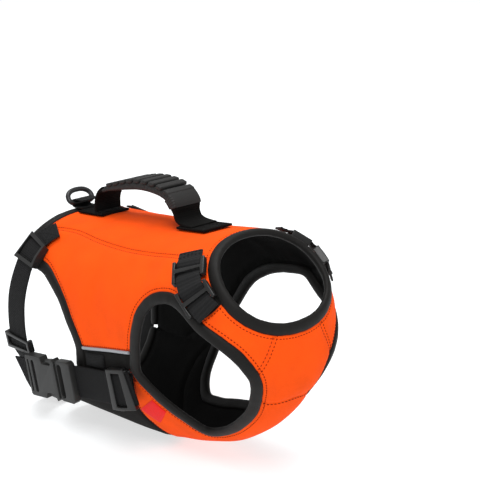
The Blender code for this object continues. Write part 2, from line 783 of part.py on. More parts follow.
def lower_binding():
    """The raised binding over the seam of the left side and the belly pad."""
    run = Run([(s, a, 0.4) for s, a in LOWER_EDGE_LEFT + BAND_EDGE_LEFT[1:]])
    ribbon("lower_binding_left", run, 1.0, run.length - 4.0, BINDING_WIDTH, BINDING_PROUD,
           BLACK_CLOTH, step=7.0)


def shoulder_strap(side):
    run = Run([(s, a * side, h) for s, a, h in SHOULDER_ROUTE])
    ribbon("shoulder_strap_" + suffix(side), run, 0.0, run.length, SHOULDER_STRAP_WIDTH, WEBBING,
           step=5.0)
    for place, angle in zip(("upper", "lower"), SHOULDER_SLIDERS):
        slider("shoulder_slider_" + place + "_" + suffix(side), run, run.where(1, angle * side),
               width=SHOULDER_STRAP_WIDTH, length=18.0)


def girth():
    """One webbing from the right rear strap under the belly to the left rear strap."""
    run = Run(GIRTH_ROUTE)
    right, left = run.where(1, CORNER_RIGHT), run.where(1, CORNER_LEFT)
    ribbon("rear_strap_right", run, 0.0, right - 0.5, STRAP_WIDTH, WEBBING, step=4.5)
    ribbon("girth_strap", run, right + 0.5, left - 0.5, STRAP_WIDTH, WEBBING, step=7.0)
    ribbon("rear_strap_left", run, left + 0.5, run.length, STRAP_WIDTH, WEBBING, step=4.5)
    for name, angle in GIRTH_SLIDERS.items():
        slider(name, run, run.where(1, angle), length=22.0)
    slider("corner_ring_right", run, right, width=27.0, length=14.0, centre_bar=False)
    slider("lower_slider_left", run, left, length=24.0, centre_bar=False)


def belt():
    """The belly belt on the right: webbing, slider, closed buckle and the tail behind it."""
    run = Run(BELT_ROUTE, BELT_UPRIGHT)
    rear = run.where(0, BUCKLE_REAR)
    half = BUCKLE_WIDTH / 2
    ribbon("belt_webbing", run, 0.0, rear - BUCKLE_LENGTH - 0.5, BELT_WIDTH,
           BELT_THICK)
    slider("belt_slider", run, run.where(0, BELT_SLIDER_AT), width=BELT_WIDTH, thick=BELT_THICK,
           length=22.0)
    columns = (-half, -half + 6.5, half - 6.5, half)
    lattice("buckle_socket", on_run(run, rear), columns, (-SOCKET_LENGTH, -37.5, -24.0, 0.0), (-1.5, 7.0),
            lambda i, j, k: not (i != 1 and j == 1))
    columns = (-half, -half + 4, half - 4, half)
    rows = (-BUCKLE_LENGTH, -50.0, -44.0, -SOCKET_LENGTH - 0.4)
    lattice("buckle_prong", on_run(run, rear), columns, rows, (-1.5, 6.0),
            lambda i, j, k: not (i == 1 and j == 1))
    place = on_run(run, rear)
    corners = [place(across, behind, level) for level in (0.0, BELT_THICK)
               for behind, across in BELT_TAIL_CORNERS]
    count = len(BELT_TAIL_CORNERS)
    sides = [(n, (n + 1) % count, (n + 1) % count + count, n + count) for n in range(count)]
    ends = [tuple(range(count)), tuple(range(count, 2 * count))]
    make_solid("belt_tail", corners, ends + sides, WEBBING_BLACK)


def lying_piece(name, corners, height, thick, colour, across=4, along=3):
    """A flat piece that lies over the body between four corners."""
    a, b, c, d = np.array(corners, float)
    straight = lambda p, q: (lambda u: p + (q - p) * np.asarray(u, float)[..., None])
    places = patch(straight(a, b), straight(d, c), straight(a, d), straight(b, c), across, along)
    cut_piece(name, places, colour, height + thick, thick)


def small_pieces():
    lying_piece("belt_keeper", KEEPER_CORNERS, 0.3, 1.6, WEBBING_BLACK)
    lying_piece("side_label", LABEL_CORNERS, 0.3, 0.8, LABEL_RED)
    lying_piece("patch_left", PATCH_LEFT_CORNERS, 2.3, WEBBING, WEBBING_BLACK)


def middle_plane_sweep(name, rows, width, colour, step, start=None, end=None, **finish):
    """A bar along rows of ahead, up and thickness in the middle plane.

    start and end are the places ahead where a part of the rows' course begins and ends.
    """
    rows = np.array(rows, float)
    keys = np.concatenate([[0], np.cumsum(np.linalg.norm(np.diff(rows[:, :2], axis=0), axis=1))])
    tried = np.linspace(0, keys[-1], 1201)
    ahead = smooth(keys, rows, tried)[:, 0]
    first = tried[0] if start is None else tried[np.argmin(np.abs(ahead - start))]
    last = tried[-1] if end is None else tried[np.argmin(np.abs(ahead - end))]
    distances = np.linspace(first, last, max(3, round((last - first) / step)) + 1)
    run = smooth(keys, rows, distances)
    slope = unit(smooth(keys, rows, distances + 0.3)[:, :2] - smooth(keys, rows, distances - 0.3)[:, :2])
    centres = np.stack([np.zeros(len(run)), -run[:, 0], run[:, 1]], -1)
    aside = np.tile((1.0, 0, 0), (len(run), 1))
    up = np.stack([np.zeros(len(run)), slope[:, 1], slope[:, 0]], -1)
    half, thick = width / 2, run[:, 2:3] / 2
    rim = np.minimum(2.4, thick * 0.6)
    across = np.concatenate([-half + 0 * rim, -half + rim, half - rim, half + 0 * rim,
                             half + 0 * rim, half - rim, -half + rim, -half + 0 * rim], 1)
    height = np.concatenate([rim - thick, -thick, -thick, rim - thick,
                             thick - rim, thick, thick, thick - rim], 1)
    sweep(name, centres, aside, up, np.stack([across, height], -1), False, colour, **finish)


def back_height(ahead):
    """The back's height in the middle plane."""
    table = np.array(BODY)
    return float(smooth(table[:, 1], table[:, 2:3], ahead)[0])


def handle():
    """Webbing legs, a moulded grip round their middle and a sewn tab under each end."""
    middle_plane_sweep("handle_grip", HANDLE_ROUTE, GRIP_WIDTH, PLASTIC, 5.5, GRIP_REAR, GRIP_FRONT,
                       roughness=0.6, smooth_angle=45)
    middle_plane_sweep("handle_webbing_rear", HANDLE_ROUTE, GRIP_WIDTH - 2, WEBBING_BLACK, 5.0,
                       end=GRIP_REAR - 0.5)
    middle_plane_sweep("handle_webbing_front", HANDLE_ROUTE, GRIP_WIDTH - 2, WEBBING_BLACK, 4.0,
                       start=GRIP_FRONT + 0.3)
    for name, ends in (("handle_tab_front", TAB_FRONT), ("handle_tab_rear", TAB_REAR)):
        rows = [(a, back_height(a) + 0.4 + TAB_THICK / 2, TAB_THICK) for a in np.linspace(*ends, 5)]
        middle_plane_sweep(name, rows, TAB_WIDTH, WEBBING_BLACK, 9.0)


def d_ring():
    """The metal ring, turned about its straight bar."""
    centre = np.array([0, -RING_AXIS_AHEAD, back_height(RING_AXIS_AHEAD) + RING_AXIS_LIFT])
    lean = np.array([0, -math.cos(RING_LEAN), math.sin(RING_LEAN)])
    half = (RING_WIDTH - RING_WIRE) / 2
    reach = RING_HEIGHT - RING_WIRE
    corner = 4.5
    bow = [(half * math.cos(t), corner + (reach - corner) * math.sin(t))
           for t in np.radians(np.linspace(0, 180, 13))]
    bend = [(-half + corner * (1 + math.cos(t)), corner * (1 + math.sin(t)))
            for t in np.radians((210, 240, 270))]
    outline = bow + bend + [(-x, y) for x, y in bend[::-1]]
    points = np.array([centre + np.array([x, 0, 0]) + lean * y for x, y in outline])
    along = tangents(points, True)
    normals = np.tile(np.cross(lean, (1.0, 0, 0)), (len(points), 1))
    aside = np.cross(along, normals)
    wire = RING_WIRE / 2
    section = [(wire * math.cos(t), wire * math.sin(t)) for t in np.radians(np.arange(0, 360, 45))]
    sweep("d_ring", points, aside, normals, section, True, RING_METAL, roughness=0.4, metallic=0.6,
          smooth_angle=60, origin=centre)


def d_ring_webbing():
    """Webbing that lies under the ring's bar, turns up behind it and comes forward over it."""
    axis_up = back_height(RING_AXIS_AHEAD) + RING_AXIS_LIFT
    radius = RING_WIRE / 2 + CLEAR + 0.15 + RING_WEBBING / 2
    turned = [(RING_AXIS_AHEAD + radius * math.cos(t), axis_up + radius * math.sin(t), RING_WEBBING)
              for t in np.radians(np.linspace(90, 270, 8))]
    front = RING_AXIS_AHEAD + 13.5
    rise = back_height(front) - back_height(RING_AXIS_AHEAD)
    rows = [(front, axis_up + radius + rise, RING_WEBBING)] + turned
    rows.append((front, axis_up - radius + rise, RING_WEBBING))
    middle_plane_sweep("d_ring_webbing", rows, 19.0, WEBBING_BLACK, 1.8)


def build():
    for thing in list(bpy.data.objects):
        bpy.data.objects.remove(thing)
    back_panel()
    for side in (RIGHT, LEFT):
        side_panel(side)
        side_band(side)
        piping(side)
        shoulder_gusset(side)
        chest_side(side)
        shoulder_strap(side)
    chest_centre()
    belly_panel()
    belly_pad()
    bindings()
    lower_binding()
    girth()
    belt()
    small_pieces()
    handle()
    d_ring()
    d_ring_webbing()


build()
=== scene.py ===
"""Dog vest of orange foam cloth, dressed for a studio picture.

The cloth, bindings and webbing follow the same named edges and courses as the part's solids, at
a finer step, and each piece stands for its solid. Sizes are millimetres, and add_mesh turns them
into metres. A place on the body is a station, 0 at the rear hem and 1 at the neck, and an angle
in degrees round the ring from the middle of the back.
"""

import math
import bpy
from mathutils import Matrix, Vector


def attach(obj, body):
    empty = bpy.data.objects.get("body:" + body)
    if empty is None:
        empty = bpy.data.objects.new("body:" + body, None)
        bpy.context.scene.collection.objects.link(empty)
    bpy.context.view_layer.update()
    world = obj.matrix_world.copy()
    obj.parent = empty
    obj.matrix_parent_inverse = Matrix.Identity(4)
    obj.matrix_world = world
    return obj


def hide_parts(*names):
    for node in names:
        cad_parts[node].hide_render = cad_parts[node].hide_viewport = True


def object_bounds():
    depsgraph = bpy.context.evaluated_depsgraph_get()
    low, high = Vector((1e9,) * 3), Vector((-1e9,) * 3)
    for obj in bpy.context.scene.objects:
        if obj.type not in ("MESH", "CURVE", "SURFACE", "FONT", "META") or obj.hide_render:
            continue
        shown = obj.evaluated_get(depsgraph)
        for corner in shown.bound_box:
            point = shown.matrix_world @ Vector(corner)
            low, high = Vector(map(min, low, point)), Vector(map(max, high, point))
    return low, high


bl_info = {
    "name": "Dog vest",
    "version": (1, 0, 0),
    "blender": (4, 5, 0),
    "location": "3D View > Sidebar > Vest",
    "description": "Makes the cloth, webbing, hardware and studio of a dog vest",
    "category": "Object",
}

import bmesh
import bpy
import numpy as np
from mathutils import Matrix
from mathutils.geometry import delaunay_2d_cdt
from mathutils.kdtree import KDTree

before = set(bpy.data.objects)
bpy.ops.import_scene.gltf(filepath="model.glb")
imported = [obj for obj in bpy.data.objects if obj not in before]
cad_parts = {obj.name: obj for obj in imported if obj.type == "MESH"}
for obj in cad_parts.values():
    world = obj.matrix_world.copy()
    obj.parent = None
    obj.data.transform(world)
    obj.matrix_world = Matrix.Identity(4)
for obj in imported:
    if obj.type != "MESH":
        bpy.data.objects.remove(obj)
CAD_BOX = [list(corner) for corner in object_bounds()]

METRES = 0.001
UV_UNIT = 100.0  # millimetres of a piece's face in one unit of its UV map
SHARP = 50  # degrees between faces from which the edge between them looks sharp
RIGHT, LEFT = -1, 1

# Cloth and seams. FLAT_SCALE is about how many millimetres a whole station and a degree are, and
# FINE how many cells there are to each cell of the solids.
FLAT_SCALE = np.array((250.0, 1.2))
FINE = 5
BINDING_WIDTH = 9.6
DOUBLE_STITCH = 1.8
TOPSTITCH = 3.0
STITCH_DENT = 0.30
PUCKER_HEIGHT = 0.16
PUFF_HEIGHT = 0.35
CREASE_STRENGTH = 1.5
LINING_SHARE = 0.9
CLOTHS = {"orange_cloth": ("orange knit", "black lining"),
          "black_cloth": ("black knit", "black lining")}

# Padded rolls: how far out from the edge and up from the body, and slow swellings as height,
# waves along the whole roll and shift
ROLL_OUT, ROLL_HALF_WIDTH = 4.6, 5.1
ROLL_UP, ROLL_HALF_HEIGHT = -1.5, 3.1
ROLL_WAVES = ((0.015, 9, 0), (0.012, 23, 1), (0.008, 41, 2))
ROLL_END = np.array([0.985])

# Webbing and hardware
WEBBING = 1.8
STRAP_WIDTH = 25.0
SHOULDER_STRAP_WIDTH = 21.0
BELT_WIDTH = 30.0
BELT_THICK = 2.0
CLEAR = 0.3
SLIDER_BAR, BELT_SLIDER_BAR = 3.0, 5.6
SHOULDER_SLIDER_LENGTH, REAR_SLIDER_LENGTH, BELT_SLIDER_LENGTH = 18.0, 22.0, 22.0
SLIDER_THICK = 2.0
RING_WIRE = 4.6
RING_WIDTH = 30.0
RING_HEIGHT = 18.5

BODY = (
    # station, top ahead, top up, bottom ahead, bottom up, half width, squareness, taper
    (0.00, -110, -11.0, -112, -189, 74, 2.50, 0.10),
    (0.25, -56, -4.5, -44, -191, 73, 2.35, 0.18),
    (0.50, 0, 3.0, 38, -188, 69, 2.15, 0.34),
    (0.70, 44, 7.8, 111, -165, 67, 2.10, 0.40),
    (0.85, 76, 12.5, 163, -122, 68, 2.15, 0.26),
    (0.93, 92, 15.0, 181, -85, 68, 2.20, 0.10),
    (1.00, 105, 17.0, 177, -49, 57, 2.15, 0.00),
)

# Edges of the cloth: mark, station, and angle to the dog's left of the back's middle line
BACK_SEAM = ((0.02, 31.5), (0.10, 29.5), (0.20, 28.5), (0.37, 31), (0.54, 32.5), (0.71, 32.5),
             (0.86, 35.5), (1.0, 47))
LEG_HOLE_RIGHT = (
    ("gusset_rear", 0.900, -72), ("gusset_front", 0.922, -87), ("", 0.946, -106),
    ("", 0.952, -123), ("chest_seam", 0.930, -140), ("bottom_seam", 0.868, -148.5),
    ("", 0.790, -152), ("", 0.710, -154.5), ("", 0.650, -149.5), ("", 0.618, -134.5),
    ("", 0.572, -116), ("wing", 0.548, -101), ("piping", 0.579, -90.4), ("", 0.632, -76),
    ("", 0.690, -64.5), ("", 0.770, -58), ("", 0.850, -60.5),
)
LEG_HOLE_LEFT = (
    ("gusset_rear", 0.885, 71), ("gusset_front", 0.906, 86), ("", 0.928, 103),
    ("", 0.941, 122), ("chest_seam", 0.930, 145), ("bottom_seam", 0.868, 152),
    ("", 0.790, 150), ("", 0.700, 145), ("", 0.610, 142), ("", 0.520, 143),
    ("", 0.455, 141), ("", 0.415, 130), ("wing", 0.428, 108), ("piping", 0.466, 94),
    ("", 0.522, 80), ("", 0.590, 69), ("", 0.680, 62.5), ("", 0.790, 62),
)
REAR_EDGE = (
    ("right_end", 0.318, -110.5), ("right_band", 0.351, -94), ("", 0.330, -79),
    ("", 0.295, -67.5), ("", 0.235, -59), ("", 0.165, -53), ("", 0.100, -51),
    ("", 0.040, -48.5), ("", 0.015, -40), ("right_seam", 0.020, -31.5), ("", 0.020, -16),
    ("", 0.020, 0), ("", 0.020, 16), ("left_seam", 0.020, 31.5), ("", 0.015, 40),
    ("", 0.030, 50), ("", 0.052, 64), ("", 0.066, 82), ("", 0.082, 100),
    ("left_pad", 0.105, 114),
)
PAD_EDGE = (
    ("right_wing", 0.548, -101), ("", 0.520, -108.4), ("", 0.460, -111),
    ("", 0.370, -115.5), ("", 0.290, -122), ("", 0.205, -132), ("", 0.140, -141),
    ("right_rear", 0.105, -148), ("", 0.100, -165), ("", 0.100, -180), ("", 0.100, -205),
    ("", 0.105, -228), ("left_rear", 0.105, -246),
)
WING_EDGE = (
    ("right", 0.548, -101), ("", 0.513, -113), ("", 0.475, -130), ("", 0.480, -145),
    ("", 0.480, -165), ("", 0.455, -185), ("", 0.400, -205), ("", 0.350, -225),
    ("", 0.365, -240), ("left", 0.428, -252),
)
NECK_TIP, NECK_GUSSET, NECK_SEAM = 85.0, 97.0, 155.0
BOTTOM_SEAM = ((0.868, -148.5), (0.886, -180), (0.868, -208))
PIPING_RIGHT = ((0.351, -94), (0.46, -91.4), (0.579, -90.4))
BAND_EDGE_RIGHT = ((0.318, -110.5), (0.43, -107), (0.548, -101))
PIPING_LEFT = ((0.275, 113.2), (0.325, 107), (0.385, 98.5), (0.466, 94))
LOWER_EDGE_LEFT = ((0.105, 114), (0.19, 114.5), (0.275, 113.2))
BAND_EDGE_LEFT = ((0.275, 113.2), (0.36, 111), (0.428, 108))

# Webbing runs, each row a station, an angle and the height above the body
SHOULDER_ROUTE = ((0.928, 37, 2.6), (0.938, 46, 2.7), (0.941, 56, 3.2), (0.945, 67, 4.2),
                  (0.952, 78, 4.4), (0.962, 92, 3.6))
SHOULDER_SLIDERS = (53.5, 76.0)
GIRTH_ROUTE = ((0.108, -31.5, 0.5), (0.09, -36, 1.4), (0.064, -47, 3.8), (0.045, -62, 4.2),
               (0.015, -80, 4.0), (-0.002, -98, 3.2), (-0.004, -109.5, 2.4), (0.0, -115, 0.7),
               (0.0, -122, 0.5),
               (-0.03, -138, 0.6), (-0.035, -151, 7), (-0.04, -166, 7), (-0.04, -180, 4),
               (-0.04, -200, 5), (-0.03, -218, 9), (-0.02, -233, 8), (-0.005, -247, 5),
               (0.008, -258, 4.2),
               (0.02, -280, 4.2), (0.03, -298, 4.2), (0.05, -313, 3.8), (0.085, -324, 1.3),
               (0.108, -328.5, 0.4))
GIRTH_SLIDERS = {"rear_slider_right": -48.5, "rear_slider_left": -311.5}
CORNER_RIGHT, CORNER_LEFT = -104.8, -258.5
BELT_ROUTE = ((0.545, -109.0, 5.4), (0.53, -109.1, 7.6), (0.505, -109.2, 9.0),
              (0.453, -109.4, 9.4), (0.366, -110.6, 9.4),
              (0.254, -113.5, 9.8), (0.127, -116, 10.6), (0.06, -117.4, 11.2),
              (-0.02, -118.6, 11.2), (-0.12, -119, 11.2))
BELT_UPRIGHT = 0.8
BELT_SLIDER_AT = 0.503
BUCKLE_REAR = 0.081
BUCKLE_WIDTH = 39.0
BUCKLE_LENGTH = 63.0
SOCKET_LENGTH = 42.0
PRONG = ((13.0, -43.0), (17.6, -43.0), (18.3, -34.0), (17.4, -27.0), (14.0, -25.6))
BELT_TAIL_CORNERS = ((0.4, 13), (24, 12.5), (13, -10), (9, -16), (0.4, -16))
KEEPER_CORNERS = ((0.366, -95.8), (0.452, -94.4), (0.432, -102.5), (0.35, -104))
LABEL_CORNERS = ((0.562, -118.5), (0.583, -126.5), (0.52, -138), (0.487, -127))
PATCH_LEFT_CORNERS = ((0.36, 84), (0.455, 84), (0.422, 105), (0.335, 105))

# The handle in the middle plane, each row ahead, up and thickness
HANDLE_ROUTE = ((-73.5, -3.2, 3.0), (-72.8, 8, 3.0), (-69, 15.3, 3.4), (-60, 20.8, 5.5),
                (-44, 26.3, 7.5), (-28.5, 30.8, 8.8), (-12, 34.4, 9.4), (6, 35.6, 9.6),
                (21, 34.0, 9.4), (30, 30.5, 9.0), (35.2, 24.8, 8.4), (37.3, 18.5, 3.0),
                (39.6, 14.2, 3.0), (44.5, 12.3, 3.0), (51, 12.1, 2.4), (60, 12.9, 1.2))
GRIP_REAR, GRIP_FRONT = -63.0, 35.6
GRIP_WIDTH = 30.0
GRIP_SIDE = 12.8
RIBS_REAR, RIBS_FRONT = -52.0, 26.0
TAB_WIDTH, TAB_THICK, TAB_LIFT = 31.0, 2.0, 0.4
TAB_FRONT, TAB_REAR = (42.0, 77.5), (-97.3, -62.0)
RING_AXIS_AHEAD, RING_AXIS_LIFT = -112.0, 6.4
RING_LEAN = math.radians(132)
RING_WEBBING = 1.2

CREASES = (
    # station, angle, heading from ahead towards the dog's left, length, width, depth
    (0.16, -38, 60, 16, 7, -0.9), (0.14, -44, -35, 18, 6, 0.7), (0.42, -46, 15, 34, 12, 0.6),
    (0.60, -47, 30, 26, 9, -0.7), (0.72, -46, 70, 15, 6, -0.6), (0.80, -47, 60, 17, 7, 0.7),
    (0.46, -62, 80, 26, 9, -0.8), (0.38, -70, 70, 22, 8, 0.6), (0.50, -78, 75, 18, 6, -0.6),
    (0.42, -84, 15, 22, 6, -0.6), (0.27, -50, 40, 22, 8, -0.6), (0.88, -50, 80, 12, 5, -0.8),
    (0.96, -128, 75, 18, 7, -0.7), (0.97, -146, 80, 20, 8, 0.6), (0.93, -165, 85, 18, 8, -0.7),
    (0.91, 170, 80, 20, 9, 0.6), (0.90, -155, 20, 18, 7, -0.6), (0.96, 140, 80, 20, 8, -0.7),
    (0.94, 112, 70, 14, 6, -0.7), (0.64, 45, 30, 26, 10, -0.7), (0.44, 50, 10, 30, 11, 0.7),
    (0.30, 60, 70, 24, 9, -0.8), (0.24, 78, 60, 22, 8, 0.6), (0.38, 74, 80, 18, 7, -0.7),
    (0.74, 44, 70, 16, 7, 0.6), (0.14, 44, 40, 18, 8, -0.7), (0.60, -175, 10, 26, 9, -0.8),
    (0.70, 172, 15, 24, 8, 0.6), (0.30, 170, 20, 30, 11, -0.9), (0.22, -165, -20, 26, 10, 0.8),
    (0.86, 0, 75, 18, 9, -0.6), (0.66, 16, 20, 22, 9, -0.5), (0.68, -18, 10, 20, 8, -0.5),
    (0.27, 18, 60, 20, 9, -0.5), (0.30, -18, 70, 18, 8, -0.5), (0.56, -24, 20, 20, 8, 0.4),
)


class VestSettings(bpy.types.PropertyGroup):
    """The sizes and colours that a user would change."""

    orange: bpy.props.FloatVectorProperty(
        name="Orange", description="Colour of the outer knit", subtype="COLOR", size=3,
        min=0, max=1, default=(0.88, 0.080, 0.0045))
    black: bpy.props.FloatVectorProperty(
        name="Black", description="Colour of the bindings and black cloth", subtype="COLOR",
        size=3, min=0, max=1, default=(0.0062, 0.0056, 0.0051))
    # The thread's dark red-brown default is painted shade: orange stitches sunk in their holes
    # look dark, so the thread itself is coloured dark.
    thread: bpy.props.FloatVectorProperty(
        name="Thread", description="Colour of the thread on the orange cloth", subtype="COLOR",
        size=3, min=0, max=1, default=(0.17, 0.0075, 0.001))
    wall: bpy.props.FloatProperty(
        name="Cloth", description="Thickness of the foam cloth in millimetres", default=3.0,
        min=1.0, max=6.0)
    seam_depth: bpy.props.FloatProperty(
        name="Seam depth", description="How deep the seams draw the cloth in, in millimetres",
        default=0.9, min=0.0, max=2.0)
    stitch_spacing: bpy.props.FloatProperty(
        name="Stitch spacing", description="From one stitch to the next, in millimetres",
        default=3.0, min=1.5, max=8.0)
    stitch_length: bpy.props.FloatProperty(
        name="Stitch length", description="Length of one stitch in millimetres", default=2.0,
        min=1.0, max=6.0)
    rib_spacing: bpy.props.FloatProperty(
        name="Rib spacing", description="From one rib of the grip to the next, in millimetres",
        default=9.4, min=4.0, max=20.0)
    roll_fullness: bpy.props.FloatProperty(
        name="Binding fullness", description="How full the padded bindings are", default=1.0,
        min=0.7, max=1.2)


def settings():
    return bpy.context.scene.vest


# Curves and the body's surface

def smooth(keys, rows, at):
    """The rows of a table as a smooth curve through its keys, straight on past the ends."""
    keys, rows, at = np.asarray(keys, float), np.asarray(rows, float), np.asarray(at, float)
    gaps = np.diff(keys)
    chords = np.diff(rows, axis=0) / gaps[:, None]
    slopes = np.empty_like(rows)
    slopes[0], slopes[-1] = chords[0], chords[-1]
    before, after = gaps[:-1, None], gaps[1:, None]
    slopes[1:-1] = (chords[:-1] * after + chords[1:] * before) / (before + after)
    held = np.clip(at, keys[0], keys[-1])
    i = np.clip(np.searchsorted(keys, held, side="right") - 1, 0, len(gaps) - 1)
    gap = gaps[i][..., None]
    u = (held - keys[i])[..., None] / gap
    curve = rows[i] * (1 + 2 * u) * (1 - u) ** 2 + rows[i + 1] * u ** 2 * (3 - 2 * u)
    curve += gap * (slopes[i] * u * (1 - u) ** 2 - slopes[i + 1] * u ** 2 * (1 - u))
    end_slope = np.where((at > keys[-1])[..., None], slopes[-1], slopes[0])
    return curve + (at - held)[..., None] * end_slope


def body(station, angle):
    """Points of the body's outer face."""
    station, angle = np.broadcast_arrays(np.asarray(station, float), np.radians(angle))
    table = np.array(BODY)
    row = smooth(table[:, 0], table[:, 1:], station)
    top, bottom = row[..., 0:2], row[..., 2:4]
    half_width, squareness, taper = row[..., 4], row[..., 5], row[..., 6]
    across, down = np.sin(angle), np.cos(angle)
    reach = (np.abs(across) ** squareness + np.abs(down) ** squareness) ** (-1 / squareness)
    across, down = across * reach, (down * reach)[..., None]
    middle = (top + bottom) / 2 + (top - bottom) / 2 * down
    side = half_width * across * (1 + taper * down[..., 0])
    return np.stack([side, -middle[..., 0], middle[..., 1]], -1)


def unit(vectors):
    return vectors / np.linalg.norm(vectors, axis=-1, keepdims=True)


def tangent_axes(station, angle):
    """Unit vectors that run ahead and round the ring on the body."""
    station, angle = np.asarray(station, float), np.asarray(angle, float)
    ahead = body(station + 1e-3, angle) - body(station - 1e-3, angle)
    round_ring = body(station, angle + 0.1) - body(station, angle - 0.1)
    return unit(ahead), unit(round_ring)


def outward(station, angle):
    """Unit normals of the body that point out of it."""
    return unit(np.cross(*tangent_axes(station, angle)))


def surface(places):
    """The body's points at places of station and angle, and its normals there."""
    station, angle = places[..., 0], places[..., 1]
    return body(station, angle), outward(station, angle)


def distances_along(points):
    """How far each point of a line lies along it."""
    return np.concatenate([[0], np.cumsum(np.linalg.norm(np.diff(points, axis=0), axis=1))])


def run_lengths(rows):
    """How far each row lies along a run of stations and angles, in millimetres."""
    return distances_along(body(rows[:, 0], rows[:, 1]))


def route(rows):
    """A function from 0 to 1 along a smooth curve through rows, even along the body."""
    rows = np.asarray(rows, float)
    keys = run_lengths(rows)
    keys /= keys[-1]
    return lambda u: smooth(keys, rows, u)


def marked_edge(table):
    """An open edge from a table with marks: its path, and where along it each mark lies."""
    rows = np.array([row[1:] for row in table], float)
    keys = run_lengths(rows)
    return route(rows), {row[0]: key for row, key in zip(table, keys / keys[-1])}


def marked_loop(table, overlap=3):
    """The same for an edge that closes on itself, its rows repeated past both ends."""
    rows = np.array([row[1:] for row in table], float)
    closed = np.concatenate([rows[-overlap:], rows, rows[:overlap + 1]])
    keys = run_lengths(closed)
    keys = (keys - keys[overlap]) / (keys[overlap + len(rows)] - keys[overlap])
    marks = {row[0]: key for row, key in zip(table, keys[overlap:])}
    return (lambda u: smooth(keys, closed, np.mod(u, 1.0))), marks


def between(edge, first, last):
    """The part of a marked edge from one mark to another."""
    path, marks = edge
    start, end = marks[first], marks[last]
    return lambda u: path(start + (end - start) * np.asarray(u, float))


def around(edge, first, last):
    """The part of a marked loop from one mark to another, on through its start if need be."""
    path, marks = edge
    start, end = marks[first], marks[last]
    end += 1 if end < start else 0
    return lambda u: path(start + (end - start) * np.asarray(u, float))


def backwards(path):
    return lambda u: path(1 - np.asarray(u, float))


def turned_on(path, degrees):
    """A path whose angles run on by whole turns, to join others past the belly."""
    return lambda u: path(u) + (0, degrees)


def joined(*pieces):
    """One path from several, each given with the share of 0 to 1 at which it ends."""
    ends = np.array([end for _, end in pieces])
    starts = np.concatenate([[0], ends[:-1]])

    def path(u):
        u = np.atleast_1d(np.asarray(u, float))
        out = np.empty(u.shape + (2,))
        which = np.clip(np.searchsorted(ends, u - 1e-9), 0, len(ends) - 1)
        for n, (piece, _) in enumerate(pieces):
            mine = which == n
            out[mine] = piece((u[mine] - starts[n]) / (ends[n] - starts[n]))
        return out
    return path


def cells(path, count):
    """Places at the ends of a path's equal cells, without the last one."""
    return path(np.linspace(0, 1, count + 1)[:-1])


def patch(first, last, start, end, across, along):
    """Places on the body filled in between four edges.

    first and last run across, start and end run along and join their ends.
    """
    u, v = np.linspace(0, 1, across + 1), np.linspace(0, 1, along + 1)
    low, high = first(u)[:, None], last(u)[:, None]
    near, far = start(v)[None], end(v)[None]
    u, v = u[:, None, None], v[None, :, None]
    corners = ((1 - u) * (1 - v) * low[0] + u * (1 - v) * low[-1]
               + (1 - u) * v * high[0] + u * v * high[-1])
    return (1 - v) * low + v * high + (1 - u) * near + u * far - corners


def tangents(points, closed):
    if closed:
        return unit(np.roll(points, -1, axis=0) - np.roll(points, 1, axis=0))
    return unit(np.gradient(points, axis=0))
def side_towards(points, normals, closed, towards):
    """Unit vectors across a line on the body, to the side that the place towards lies on."""
    aside = unit(np.cross(normals, tangents(points, closed)))
    goal = body(*towards)
    nearest = np.argmin(np.linalg.norm(points - goal, axis=1))
    return -aside if (aside[nearest] * (goal - points[nearest])).sum() < 0 else aside


def mirrored(points):
    """Flat points on the other side, in reverse order."""
    return [(-x, y) for x, y in points[::-1]]


def arc(centre, radius, start, end, count=7):
    """Points of an arc in the flat, its angles in degrees."""
    return [(centre[0] + radius * math.cos(t), centre[1] + radius * math.sin(t))
            for t in np.radians(np.linspace(start, end, count))]


def ellipse(half_width, half_height, count, up=0.0):
    """A round section of side and up distances."""
    turns = np.linspace(0, math.tau, count, endpoint=False)
    return np.stack([half_width * np.cos(turns), up + half_height * np.sin(turns)], -1)

def suffix(side):
    return "right" if side == RIGHT else "left"


# Named edges of the cut pieces

LEG_EDGE = {RIGHT: marked_loop(LEG_HOLE_RIGHT), LEFT: marked_loop(LEG_HOLE_LEFT)}
LEG_CELLS = (
    ("gusset_rear", "gusset_front", 2), ("gusset_front", "chest_seam", 10),
    ("chest_seam", "bottom_seam", 4), ("bottom_seam", "wing", 16), ("wing", "piping", 2),
    ("piping", "gusset_rear", 14),
)
REAR, PAD, WING = marked_edge(REAR_EDGE), marked_edge(PAD_EDGE), marked_edge(WING_EDGE)


def neck_arc(start, end):
    return lambda u: np.stack([np.ones_like(u), start + (end - start) * np.asarray(u, float)], -1)


def back_seam(side):
    return route([(s, a * side) for s, a in BACK_SEAM])


def leg_mark(side, row):
    return (LEG_HOLE_RIGHT if side == RIGHT else LEG_HOLE_LEFT)[row][1:]


def tip_edge(side):
    """The edge between the side panel and the shoulder gusset."""
    return route([leg_mark(side, 0), (1.0, NECK_TIP * side)])


def gusset_edge(side):
    """The edge between the shoulder gusset and the chest."""
    return route([leg_mark(side, 1), (1.0, NECK_GUSSET * side)])


def chest_seam(side):
    """The double seam between a chest side and the chest's middle, from the leg hole up."""
    return route([leg_mark(side, 4), (1.0, NECK_SEAM * side)])


class SewnLines:
    """Lines on the body, for how far a point lies from the nearest of them."""

    def __init__(self, paths, step=0.4):
        points = []
        for path in paths:
            coarse = path(np.linspace(0, 1, 60))
            length = np.linalg.norm(np.diff(body(*coarse.T), axis=0), axis=1).sum()
            places = path(np.linspace(0, 1, max(2, int(length / step))))
            points.append(body(*places.T))
        points = np.concatenate(points)
        self.tree = KDTree(len(points))
        for n, point in enumerate(points):
            self.tree.insert(point, n)
        self.tree.balance()

    def distance(self, points):
        return np.array([self.tree.find(point)[2] for point in points])


